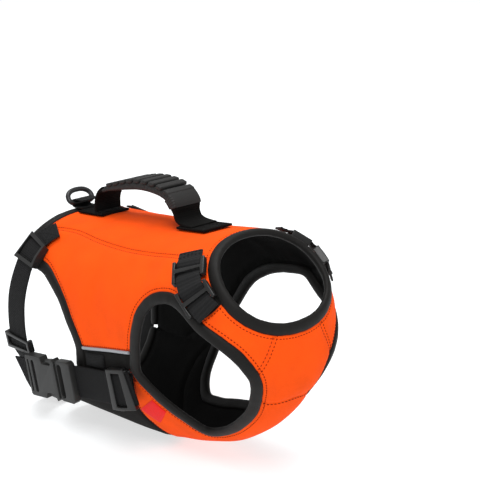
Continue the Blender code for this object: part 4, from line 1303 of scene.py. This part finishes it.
def buckle(run, rear):
    """The closed buckle in front of its rear end. Gives the place of what lies flat with it."""
    place = on_run(run, rear, rigid=True)
    half, front = BUCKLE_WIDTH / 2, -BUCKLE_LENGTH
    holes = [slot_hole(half - 4, -4.6, -2.6), slot_hole(half - 4, -12.0, -8.0)]
    shell = flat_plate(socket_outline(), holes, -1.5, 7.0, 1.3)
    socket = set_down("buckle_socket_plastic", [shell], place, "black plastic", 35)
    dress(socket, "plastic", "buckle_socket")
    edge = [(half - 2, -SOCKET_LENGTH - 0.4), (half - 0.5, -45.0), (half, front + 3),
            (half - 2.5, front)]
    works = [flat_plate(edge + mirrored(edge), [slot_hole(half - 3.5, -50.4, -44.4)], -1.5, 5.6,
                        1.2)]
    for side in (-1, 1):
        works.append(flat_plate([(side * x, y) for x, y in PRONG], [], 0.8, 4.8, 0.9))
    prong = set_down("buckle_prong_plastic", works, place, "black plastic", 35)
    dress(prong, "plastic", "buckle_prong")
    return place


def webbing_wrap(name, run, at, width, radius=3.1, steps=17):
    """Webbing turned round a bar across the run."""
    centre, along, aside, out = run.frame(at)
    columns = np.linspace(-width / 2, width / 2, steps)
    ends = np.clip((width / 2 - np.abs(columns)) / 1.2, 0, 1) ** 0.5
    section = ellipse(radius * 1.5, radius, 22)[None] * (0.86 + 0.14 * ends[:, None, None])
    centres = centre + out + aside * columns[:, None]
    thing = sweep(name, centres, np.tile(along, (steps, 1)), np.tile(out, (steps, 1)), section,
                  False, "belt webbing", 60)
    dress(thing, "webbing")


def webbing_wrap(name, run, at, width, radius=3.1):
    """Webbing turned round a bar across the run."""
    centre, along, aside, out = run.frame(at)
    turns = np.linspace(0, math.tau, 22, endpoint=False)
    section = np.stack([radius * 1.5 * np.cos(turns), radius * np.sin(turns)], -1)
    columns = np.linspace(-width / 2, width / 2, 17)
    ends = np.clip((width / 2 - np.abs(columns)) / 1.2, 0, 1) ** 0.5
    section = section[None] * (0.86 + 0.14 * ends[:, None, None])
    centres = centre + out * 1.0 + aside * columns[:, None]
    thing = sweep(name, centres, np.tile(along, (17, 1)), np.tile(out, (17, 1)), section, False,
                  "belt webbing", 60)
    dress(thing, "webbing")


def belt():
    """The belly belt on the right: webbing, slider, closed buckle and the tail behind it."""
    run = Run(BELT_ROUTE, BELT_UPRIGHT)
    rear = run.where(0, BUCKLE_REAR)
    slide = run.where(0, BELT_SLIDER_AT)
    front = rear - BUCKLE_LENGTH - 0.5
    strap("belt_webbing", run, 0.0, front, BELT_WIDTH, BELT_THICK,
          over_bars([slide], BELT_SLIDER_LENGTH, 0.9, -0.2), "belt webbing")
    slider("belt_slider", run, slide, width=BELT_WIDTH, thick=BELT_THICK,
           length=BELT_SLIDER_LENGTH, end_bar=BELT_SLIDER_BAR)
    place = buckle(run, rear)
    webbing_wrap("buckle_webbing_turn", run, rear - BUCKLE_LENGTH + 6.4, BELT_WIDTH - 1)
    tail = flat_plate([(across, behind) for behind, across in BELT_TAIL_CORNERS], [], 0.0,
                      BELT_THICK, 0.7)
    bmesh.ops.triangulate(tail, faces=tail.faces)
    thing = set_down("belt_tail_webbing", [tail], place, "belt webbing")
    dress(thing, "webbing", "belt_tail")


def lying_cloth(node, corners, height, thick, finish, slot, bow=0.3):
    """A flat piece that lies over the body between four corners, bowed a little."""
    a, b, c, d = np.array(corners, float)
    across, along = 24, 18

    def straight(p, q):
        return lambda u: p + (q - p) * np.asarray(u, float)[..., None]

    base, normals = surface(patch(straight(a, b), straight(d, c), straight(a, d), straight(b, c),
                                  across, along))
    u, v = np.linspace(-1, 1, across + 1)[:, None], np.linspace(-1, 1, along + 1)[None]
    middle = (1 - u ** 2) * (1 - v ** 2)
    edge = np.minimum(1, np.minimum(1 - np.abs(u), 1 - np.abs(v)) * 6) ** 0.5
    top = base + normals * (height + thick * (0.45 + 0.55 * edge) + bow * middle)[..., None]
    thing = grid_shell(node + "_piece", top, base + normals * height, (finish,))
    return dress(thing, slot, node)


# Handle and ring

def middle_run(rows, start=None, end=None, step=1.2):
    """A course in the middle plane from rows of ahead, up and thickness.

    start and end are the places ahead where a part of the course begins and ends.
    """
    rows = np.array(rows, float)
    keys = distances_along(rows[:, :2])
    tried = np.linspace(0, keys[-1], 1201)
    ahead = smooth(keys, rows, tried)[:, 0]
    first = tried[0] if start is None else tried[np.argmin(np.abs(ahead - start))]
    last = tried[-1] if end is None else tried[np.argmin(np.abs(ahead - end))]
    distances = np.linspace(first, last, max(3, round((last - first) / step)) + 1)
    run = smooth(keys, rows, distances)
    slope = unit(smooth(keys, rows, distances + 0.3)[:, :2]
                 - smooth(keys, rows, distances - 0.3)[:, :2])
    centres = np.stack([np.zeros(len(run)), -run[:, 0], run[:, 1]], -1)
    up = np.stack([np.zeros(len(run)), slope[:, 1], slope[:, 0]], -1)
    return centres, up, run[:, 2]


def bar_sweep(name, nodes, rows, width, finish, start=None, end=None, rounding=2.4, step=1.2):
    """A bar with rounded edges along rows in the middle plane."""
    centres, up, thick = middle_run(rows, start, end, step)
    half, thick = width / 2, thick / 2
    rim = np.minimum(rounding, thick * 0.7)
    section = []
    for quarter, (side, level) in enumerate(((-1, -1), (1, -1), (1, 1), (-1, 1))):
        for turn in np.radians(np.linspace(180 + 90 * quarter, 270 + 90 * quarter, 5)):
            section.append(np.stack([side * (half - rim) + rim * math.cos(turn),
                                     level * (thick - rim) + rim * math.sin(turn)], -1))
    section = np.stack(section, 1)
    aside = np.tile((1.0, 0, 0), (len(centres), 1))
    thing = sweep(name, centres, aside, up, section, False, finish)
    dress(thing, "grip" if finish == "grip rubber" else "webbing", *nodes)


def back_height(ahead):
    """The back's height in the middle plane."""
    table = np.array(BODY)
    return float(smooth(table[:, 1], table[:, 2:3], ahead)[0])


def rib_block():
    """One raised rib of the grip, in metres, for repeating along its top."""
    length, width, height = settings().rib_spacing - 2.4, GRIP_WIDTH - 0.2, 3.6
    work = rounded_box((-length / 2, length / 2), (-width / 2, width / 2),
                       (-height / 2, height / 2), lambda i, j, k: True)
    softened(work, 1.5)
    mesh = bpy.data.meshes.new("rib block")
    bmesh.ops.scale(work, vec=(METRES,) * 3, verts=work.verts)
    work.to_mesh(mesh)
    work.free()
    mesh.shade_smooth()
    return bpy.data.objects.new("rib block", mesh)


def handle():
    core = [(a, u - 1.1, t - 2.2) for a, u, t in HANDLE_ROUTE]
    bar_sweep("handle_grip_body", ["handle_grip"], core, GRIP_WIDTH - 2.2, "grip rubber",
              GRIP_REAR, GRIP_FRONT, rounding=2.6)
    block = [(a, u, t + 0.8) for a, u, t in HANDLE_ROUTE]
    bar_sweep("handle_front_block", [], block, GRIP_WIDTH + 0.6, "grip rubber", RIBS_FRONT + 2.2,
              GRIP_FRONT, rounding=2.2)
    centres, up, thick = middle_run(HANDLE_ROUTE, RIBS_REAR, RIBS_FRONT, 1.0)
    top = centres + up * (thick[:, None] / 2 - 1.2)
    ribs = repeated_along("handle_ribs", [(top, up)], rib_block(), settings().rib_spacing,
                          "grip rubber")
    dress(ribs, "grip")
    for name, start, end in (("rear", None, GRIP_REAR - 0.2), ("front", GRIP_FRONT - 0.2, None)):
        bar_sweep("handle_" + name + "_leg", ["handle_webbing_" + name], HANDLE_ROUTE,
                  GRIP_WIDTH - 2, "handle webbing", start, end, rounding=1.3)
    for node, ends in (("handle_tab_front", TAB_FRONT), ("handle_tab_rear", TAB_REAR)):
        rows = [(a, back_height(a) + TAB_LIFT + TAB_THICK / 2, TAB_THICK)
                for a in np.linspace(*ends, 7)]
        bar_sweep(node + "_webbing", [node], rows, TAB_WIDTH, "handle webbing", rounding=0.9)


def ring():
    """The coated ring, turned about its straight bar, and the webbing that holds it."""
    axis_up = back_height(RING_AXIS_AHEAD) + RING_AXIS_LIFT
    centre = np.array([0, -RING_AXIS_AHEAD, axis_up])
    lean = np.array([0, -math.cos(RING_LEAN), math.sin(RING_LEAN)])
    half, reach, corner = (RING_WIDTH - RING_WIRE) / 2, RING_HEIGHT - RING_WIRE - 1.0, 4.5
    bow = [(half * math.copysign(abs(math.cos(t)) ** 0.86, math.cos(t)),
            corner + (reach - corner) * math.sin(t) ** 0.9)
           for t in np.radians(np.linspace(0, 180, 49))]
    bend = arc((corner - half, corner), corner, 190, 270, 12)
    straight = [(x, 0.0) for x in np.linspace(-half + corner + 1, half - corner - 1, 12)]
    outline = bow + bend + straight + mirrored(bend)
    points = np.array([centre + np.array([x, 0, 0]) + lean * y for x, y in outline])
    along = tangents(points, True)
    normals = np.tile(np.cross(lean, (1.0, 0, 0)), (len(points), 1))
    wire = RING_WIRE / 2
    thing = sweep("d_ring_wire", points, np.cross(along, normals), normals,
                  ellipse(wire, wire, 20), True, "ring coat", 80)
    dress(thing, "ring_metal", "d_ring", carrier="d_ring")
    radius = wire + CLEAR + 0.15 + RING_WEBBING / 2
    front = RING_AXIS_AHEAD + 13.5
    rise = back_height(front) - back_height(RING_AXIS_AHEAD)
    course = [(front, axis_up + radius + rise),
              *arc((RING_AXIS_AHEAD, axis_up), radius, 90, 270, 8),
              (front, axis_up - radius + rise)]
    bar_sweep("d_ring_loop", ["d_ring_webbing"], [(*place, RING_WEBBING) for place in course],
              19.0, "black webbing", rounding=0.5, step=0.8)


# Trims

def trims():
    """The pipings, the binding of the left lower edge, the keeper, the label and the patch."""
    for side, rows, start, end in ((RIGHT, PIPING_RIGHT, 0.02, 0.985),
                                   (LEFT, PIPING_LEFT, 0.25, 0.94)):
        run = Run([(s, a, -0.2) for s, a in rows])
        centres, _, aside, out = run.frame(np.linspace(run.length * start, run.length * end, 60))
        node = "reflective_piping_" + suffix(side)
        thing = sweep(node + "_tape", centres, aside, out, ellipse(1.5, 1.1, 12, 0.6), False,
                      "reflective tape", 70)
        dress(thing, "reflective", node)
    run = Run([(s, a, -0.4) for s, a in LOWER_EDGE_LEFT + BAND_EDGE_LEFT[1:]])
    centres, _, aside, out = run.frame(np.linspace(1.0, run.length - 4.0, 90))
    thing = sweep("lower_binding_left_roll", centres, aside, out,
                  ellipse(BINDING_WIDTH / 2, 1.7, 18, 0.8), False, "binding knit", 70)
    dress(thing, "binding", "lower_binding_left")
    lying_cloth("belt_keeper", KEEPER_CORNERS, 0.2, 1.6, "black webbing", "webbing", bow=1.4)
    label = lying_cloth("side_label", LABEL_CORNERS, 0.25, 0.8, "red label", "label", bow=0.2)
    lying_cloth("patch_left", PATCH_LEFT_CORNERS, 0.4, WEBBING + 1.4, "black webbing", "webbing")


# What repeats along a line

def copies_tree():
    """A node group that sets copies of an object along lines, at a spacing."""
    name = "copies along lines"
    if name in bpy.data.node_groups:
        return bpy.data.node_groups[name]
    tree = bpy.data.node_groups.new(name, "GeometryNodeTree")
    tree.interface.new_socket("Lines", in_out="INPUT", socket_type="NodeSocketGeometry")
    for label, kind in (("Spacing", "NodeSocketFloat"), ("Shape", "NodeSocketObject"),
                        ("Finish", "NodeSocketMaterial")):
        tree.interface.new_socket(label, in_out="INPUT", socket_type=kind)
    tree.interface.new_socket("Copies", in_out="OUTPUT", socket_type="NodeSocketGeometry")
    add, link = tree.nodes.new, tree.links.new
    given, result = add("NodeGroupInput"), add("NodeGroupOutput")
    curve = add("GeometryNodeMeshToCurve")
    link(given.outputs["Lines"], curve.inputs["Mesh"])
    even = add("GeometryNodeResampleCurve")
    even.mode = "LENGTH"
    link(curve.outputs["Curve"], even.inputs["Curve"])
    link(given.outputs["Spacing"], even.inputs["Length"])
    shape = add("GeometryNodeObjectInfo")
    link(given.outputs["Shape"], shape.inputs["Object"])
    out = add("GeometryNodeInputNamedAttribute")
    out.data_type = "FLOAT_VECTOR"
    out.inputs["Name"].default_value = "out"
    turn = add("FunctionNodeAxesToRotation")
    turn.primary_axis, turn.secondary_axis = "X", "Z"
    link(add("GeometryNodeInputTangent").outputs["Tangent"], turn.inputs["Primary Axis"])
    link(out.outputs["Attribute"], turn.inputs["Secondary Axis"])
    copies = add("GeometryNodeInstanceOnPoints")
    link(even.outputs["Curve"], copies.inputs["Points"])
    link(shape.outputs["Geometry"], copies.inputs["Instance"])
    link(turn.outputs["Rotation"], copies.inputs["Rotation"])
    real = add("GeometryNodeRealizeInstances")
    link(copies.outputs["Instances"], real.inputs["Geometry"])
    painted = add("GeometryNodeSetMaterial")
    link(real.outputs["Geometry"], painted.inputs["Geometry"])
    link(given.outputs["Finish"], painted.inputs["Material"])
    link(painted.outputs["Geometry"], result.inputs["Copies"])
    return tree


def repeated_along(name, lines, shape, spacing, finish):
    """One mesh of a shape's copies along lines of points and outward vectors."""
    mesh = bpy.data.meshes.new(name)
    points = np.concatenate([line[0] for line in lines]) * METRES
    edges, start = [], 0
    for line, _ in lines:
        edges += [(n, n + 1) for n in range(start, start + len(line) - 1)]
        start += len(line)
    mesh.from_pydata(points.tolist(), edges, [])
    out = mesh.attributes.new("out", "FLOAT_VECTOR", "POINT")
    out.data.foreach_set("vector", np.concatenate([line[1] for line in lines]).ravel())
    thing = linked(name, mesh)
    bpy.context.scene.collection.objects.link(shape)
    modifier = thing.modifiers.new("copies", "NODES")
    modifier.node_group = copies_tree()
    sockets = {item.name: item.identifier for item in modifier.node_group.interface.items_tree}
    for socket, value in (("Spacing", spacing * METRES), ("Shape", shape),
                          ("Finish", finish_of(finish))):
        modifier[sockets[socket]] = value
    finished(thing)
    bpy.data.objects.remove(shape)
    thing.data.shade_smooth()
    return thing


def stitch_shape():
    """One stitch: a short flattened bead of thread."""
    work = bmesh.new()
    bmesh.ops.create_uvsphere(work, u_segments=8, v_segments=5, radius=1.0)
    bmesh.ops.rotate(work, verts=work.verts, matrix=Matrix.Rotation(math.pi / 2, 3, "Y"))
    half = settings().stitch_length / 2
    bmesh.ops.scale(work, vec=(half * METRES, 0.42 * METRES, 0.32 * METRES), verts=work.verts)
    mesh = bpy.data.meshes.new("stitch")
    work.to_mesh(mesh)
    work.free()
    return bpy.data.objects.new("stitch", mesh)


def sewn(path, towards, offset, relief):
    """A stitch line beside an edge, on the side that towards lies on."""
    points, normals = surface(path(np.linspace(0, 1, 220)))
    points = points + side_towards(points, normals, False, towards) * offset
    return points + normals * (relief.height(points) + 0.05)[:, None], normals


def orange_stitches(relief):
    lines = []
    for side in (RIGHT, LEFT):
        for seam, place in ((back_seam(side), (0.5, 60 * side)),
                            (chest_seam(side), (0.97, 130 * side))):
            lines += [(seam, place, DOUBLE_STITCH), (seam, place, -DOUBLE_STITCH)]
        leg = LEG_EDGE[side]
        lines += [(around(leg, "piping", "gusset_rear"), (0.7, 40 * side), TOPSTITCH),
                  (around(leg, "gusset_front", "wing"), (0.98, 130 * side), TOPSTITCH),
                  (tip_edge(side), (0.9, 60 * side), DOUBLE_STITCH),
                  (gusset_edge(side), (0.96, 120 * side), DOUBLE_STITCH)]
    lines += [(neck_arc(-NECK_TIP, NECK_TIP), (0.9, 0), TOPSTITCH),
              (neck_arc(NECK_GUSSET, 360 - NECK_GUSSET), (0.9, 180), TOPSTITCH),
              (between(REAR, "right_band", "right_seam"), (0.4, -60), TOPSTITCH),
              (between(REAR, "right_seam", "left_seam"), (0.2, 0), TOPSTITCH),
              (between(REAR, "left_seam", "left_pad"), (0.3, 60), TOPSTITCH),
              (route(PIPING_RIGHT), (0.46, -80), 2.6),
              (route(PIPING_LEFT), (0.38, 80), 2.6),
              (route(BOTTOM_SEAM), (0.8, -180), DOUBLE_STITCH),
              (between(WING, "right", "left"), (0.7, -180), DOUBLE_STITCH)]
    return [sewn(*line, relief) for line in lines]


def black_stitches(relief):
    lines = [(between(PAD, "right_wing", "right_rear"), (0.3, -160), TOPSTITCH),
             (between(PAD, "right_rear", "left_rear"), (0.3, -180), TOPSTITCH),
             (route(PIPING_RIGHT), (0.46, -100), 2.8),
             (route(BAND_EDGE_RIGHT), (0.43, -95), 1.6),
             (between(WING, "right", "left"), (0.3, -180), DOUBLE_STITCH)]
    for side in (RIGHT, LEFT):
        lines += [(gusset_edge(side), (0.95, 80 * side), DOUBLE_STITCH),
                  (tip_edge(side), (0.95, 95 * side), DOUBLE_STITCH)]
    return [sewn(*line, relief) for line in lines]


def box_lines(frame_at, along, across, lift):
    """A sewn box with a cross in it, as lines on a strap."""
    corners = [(-along, -across), (along, -across), (along, across), (-along, across)]
    lines = []
    for a, b in ((0, 1), (1, 2), (2, 3), (3, 0), (0, 2), (1, 3)):
        share = np.linspace(0, 1, 24)[:, None]
        run = np.array(corners[a]) * (1 - share) + np.array(corners[b]) * share
        centre, _, aside, out = frame_at(run[:, 0])
        lines.append((centre + aside * run[:, 1:] + out * lift, out))
    return lines


def strap_stitches():
    """Boxes where webbing ends are sewn down."""
    run = Run(GIRTH_ROUTE)
    lines = []
    for at in (9.0, run.length - 9.0):
        lines += box_lines(lambda d, at=at: run.frame(at + d), 6.0, 9.5, WEBBING + 0.1)
    for side in (RIGHT, LEFT):
        shoulder = Run([(s, a * side, h) for s, a, h in SHOULDER_ROUTE])
        lines += box_lines(lambda d, r=shoulder: r.frame(3.4 + d), 2.2, 8.4, WEBBING + 0.1)
    for ends in (TAB_FRONT, TAB_REAR):
        middle = sum(ends) / 2

        def frame_at(distance, middle=middle):
            centre = np.array([(0, -a, back_height(a) + TAB_LIFT) for a in middle + distance])
            aside, out = [np.tile(axis, (len(centre), 1)) for axis in ((1.0, 0, 0), (0, 0, 1.0))]
            return centre, None, aside, out

        lines += box_lines(frame_at, 15.0, 13.0, TAB_THICK + 0.1)
    patch_run = Run([(0.372, 94.5, 0.4), (0.415, 94.5, 0.4)])
    half = patch_run.length / 2
    lines += box_lines(lambda d: patch_run.frame(half + d), 9.0, 9.5, WEBBING + 1.8)
    return lines


def stitches(relief):
    # The stitches on the orange cloth carry painted shade: their thread is darkened as if sunk in
    # its holes.
    for name, lines, slot, finish in (
            ("stitches_on_orange", orange_stitches(relief), "orange_cloth", "orange thread"),
            ("stitches_on_black", black_stitches(relief) + strap_stitches(), "black_cloth",
             "black thread")):
        dress(repeated_along(name, lines, stitch_shape(), settings().stitch_spacing, finish), slot)


# Studio

CAMERA_AZIMUTH, CAMERA_ELEVATION = math.radians(-42), math.radians(18)
CAMERA_TARGET = np.array((0.0, -40.0, -78.0))
CAMERA_DISTANCE = 1300.0
IMAGE = 480
FOCAL_PIXELS = 1508.0
TARGET_PIXEL = (190, 320)
SENSOR = 36.0

# Metres and watts: what the lights face, each light's name, place, size and power, and the floor
LIT_POINT = (0.0, -0.03, -0.1)
LIGHTS = (("key", (-0.9, -0.9, 1.5), 0.9, 24), ("fill", (1.1, -1.4, 0.7), 1.2, 3),
          ("top", (0.1, 0.4, 1.7), 0.9, 20))
SURROUND_STRENGTH = 0.58
FLOOR_REACH, FLOOR_GAP = 8.0, 0.0003


def camera_axes():
    """Unit vectors to the picture's right, up in it and back from it to the camera."""
    sin_az, cos_az = math.sin(CAMERA_AZIMUTH), math.cos(CAMERA_AZIMUTH)
    sin_el, cos_el = math.sin(CAMERA_ELEVATION), math.cos(CAMERA_ELEVATION)
    back = np.array((sin_az * cos_el, -cos_az * cos_el, sin_el))
    right = np.array((cos_az, sin_az, 0.0))
    return right, np.cross(back, right), back


def stand(name, data, right, up, back, place):
    """An object of the scene with its axes and its place, in metres."""
    thing = linked(name, data)
    matrix = Matrix.Identity(4)
    for row in range(3):
        matrix[row] = right[row], up[row], back[row], place[row]
    thing.matrix_world = matrix
    return thing


def camera():
    """The camera at the photograph's angle, moved so that the vest lies where it does there."""
    right, up, back = camera_axes()
    per_pixel = CAMERA_DISTANCE / FOCAL_PIXELS
    aside, over = [(pixel - IMAGE / 2) * per_pixel for pixel in TARGET_PIXEL]
    place = CAMERA_TARGET + back * CAMERA_DISTANCE - right * aside + up * over
    lens = bpy.data.cameras.new("camera")
    lens.sensor_width = SENSOR
    lens.lens = FOCAL_PIXELS / IMAGE * SENSOR
    lens.clip_start, lens.clip_end = 0.05, 20
    bpy.context.scene.camera = stand("camera", lens, right, up, back, place * METRES)


def soft_light(name, place, size, power):
    """A square soft box that faces the vest."""
    lamp = bpy.data.lights.new(name, "AREA")
    lamp.size, lamp.energy = size, power
    aim = unit(np.array(LIT_POINT) - place)
    aside = unit(np.cross(aim, (0.0, 0.0, 1.0)))
    stand(name, lamp, aside, np.cross(aside, aim), -aim, place)


def floor():
    """The white floor, just under the lowest point of the vest's solids."""
    lowest = CAD_BOX[0][2] - FLOOR_GAP
    mesh = bpy.data.meshes.new("floor")
    corners = [(x * FLOOR_REACH, y * FLOOR_REACH, lowest)
               for x, y in ((-1, -1), (1, -1), (1, 1), (-1, 1))]
    mesh.from_pydata(corners, [], [(0, 1, 2, 3)])
    mesh.materials.append(finish_of("floor"))
    linked("floor", mesh)


def studio():
    scene = bpy.context.scene
    scene.view_settings.view_transform = "Standard"
    world = bpy.data.worlds.new("studio")
    world.use_nodes = True
    surround = world.node_tree.nodes["Background"].inputs
    surround["Color"].default_value = (1, 1, 1, 1)
    surround["Strength"].default_value = SURROUND_STRENGTH
    scene.world = world
    for light in LIGHTS:
        soft_light(*light)
    floor()
    camera()


# Operators and panel

class VEST_OT_cloth(bpy.types.Operator):
    """Makes the cut pieces of foam cloth"""

    bl_idname = "vest.cloth"
    bl_label = "Cloth"

    def execute(self, context):
        relief = Relief()
        back_cloth(relief)
        chest_cloth(relief)
        belly_cloth(relief)
        for side in (RIGHT, LEFT):
            side_cloth(side, relief)
            band_cloth(side, relief)
            shoulder_cloth(side, relief)
        return {"FINISHED"}


class VEST_OT_bindings(bpy.types.Operator):
    """Makes the padded bindings round the openings"""

    bl_idname = "vest.bindings"
    bl_label = "Bindings"

    def execute(self, context):
        bindings()
        return {"FINISHED"}


class VEST_OT_straps(bpy.types.Operator):
    """Makes the shoulder, rear and girth straps with their sliders"""

    bl_idname = "vest.straps"
    bl_label = "Straps"

    def execute(self, context):
        shoulder_straps()
        girth()
        return {"FINISHED"}


class VEST_OT_belt(bpy.types.Operator):
    """Makes the belly belt, its slider and its closed buckle"""

    bl_idname = "vest.belt"
    bl_label = "Belt"

    def execute(self, context):
        belt()
        return {"FINISHED"}


class VEST_OT_handle(bpy.types.Operator):
    """Makes the carrying handle on the back"""

    bl_idname = "vest.handle"
    bl_label = "Handle"

    def execute(self, context):
        handle()
        return {"FINISHED"}


class VEST_OT_ring(bpy.types.Operator):
    """Makes the leash ring and its webbing"""

    bl_idname = "vest.ring"
    bl_label = "Ring"

    def execute(self, context):
        ring()
        return {"FINISHED"}


class VEST_OT_trims(bpy.types.Operator):
    """Makes the pipings, the keeper, the label and the left patch"""

    bl_idname = "vest.trims"
    bl_label = "Trims"

    def execute(self, context):
        trims()
        return {"FINISHED"}


class VEST_OT_stitches(bpy.types.Operator):
    """Sews the stitch lines"""

    bl_idname = "vest.stitches"
    bl_label = "Stitches"

    def execute(self, context):
        stitches(Relief())
        return {"FINISHED"}


class VEST_OT_studio(bpy.types.Operator):
    """Makes the floor, the lights and the camera"""

    bl_idname = "vest.studio"
    bl_label = "Studio"

    def execute(self, context):
        studio()
        return {"FINISHED"}


STEPS = (VEST_OT_cloth, VEST_OT_bindings, VEST_OT_straps, VEST_OT_belt, VEST_OT_handle,
         VEST_OT_ring, VEST_OT_trims, VEST_OT_stitches, VEST_OT_studio)


class VEST_PT_panel(bpy.types.Panel):
    """The vest's steps and sizes in the sidebar"""

    bl_idname = "VEST_PT_panel"
    bl_label = "Dog vest"
    bl_space_type = "VIEW_3D"
    bl_region_type = "UI"
    bl_category = "Vest"

    def draw(self, context):
        for step in STEPS:
            self.layout.operator(step.bl_idname)
        for name in VestSettings.__annotations__:
            self.layout.prop(context.scene.vest, name)


CLASSES = (VestSettings,) + STEPS + (VEST_PT_panel,)


def register():
    for made in CLASSES:
        bpy.utils.register_class(made)
    bpy.types.Scene.vest = bpy.props.PointerProperty(type=VestSettings)


def unregister():
    del bpy.types.Scene.vest
    for made in reversed(CLASSES):
        bpy.utils.unregister_class(made)


def main():
    register()
    for step in STEPS:
        group, name = step.bl_idname.split(".")
        getattr(getattr(bpy.ops, group), name)()


if __name__ == "__main__":
    main()
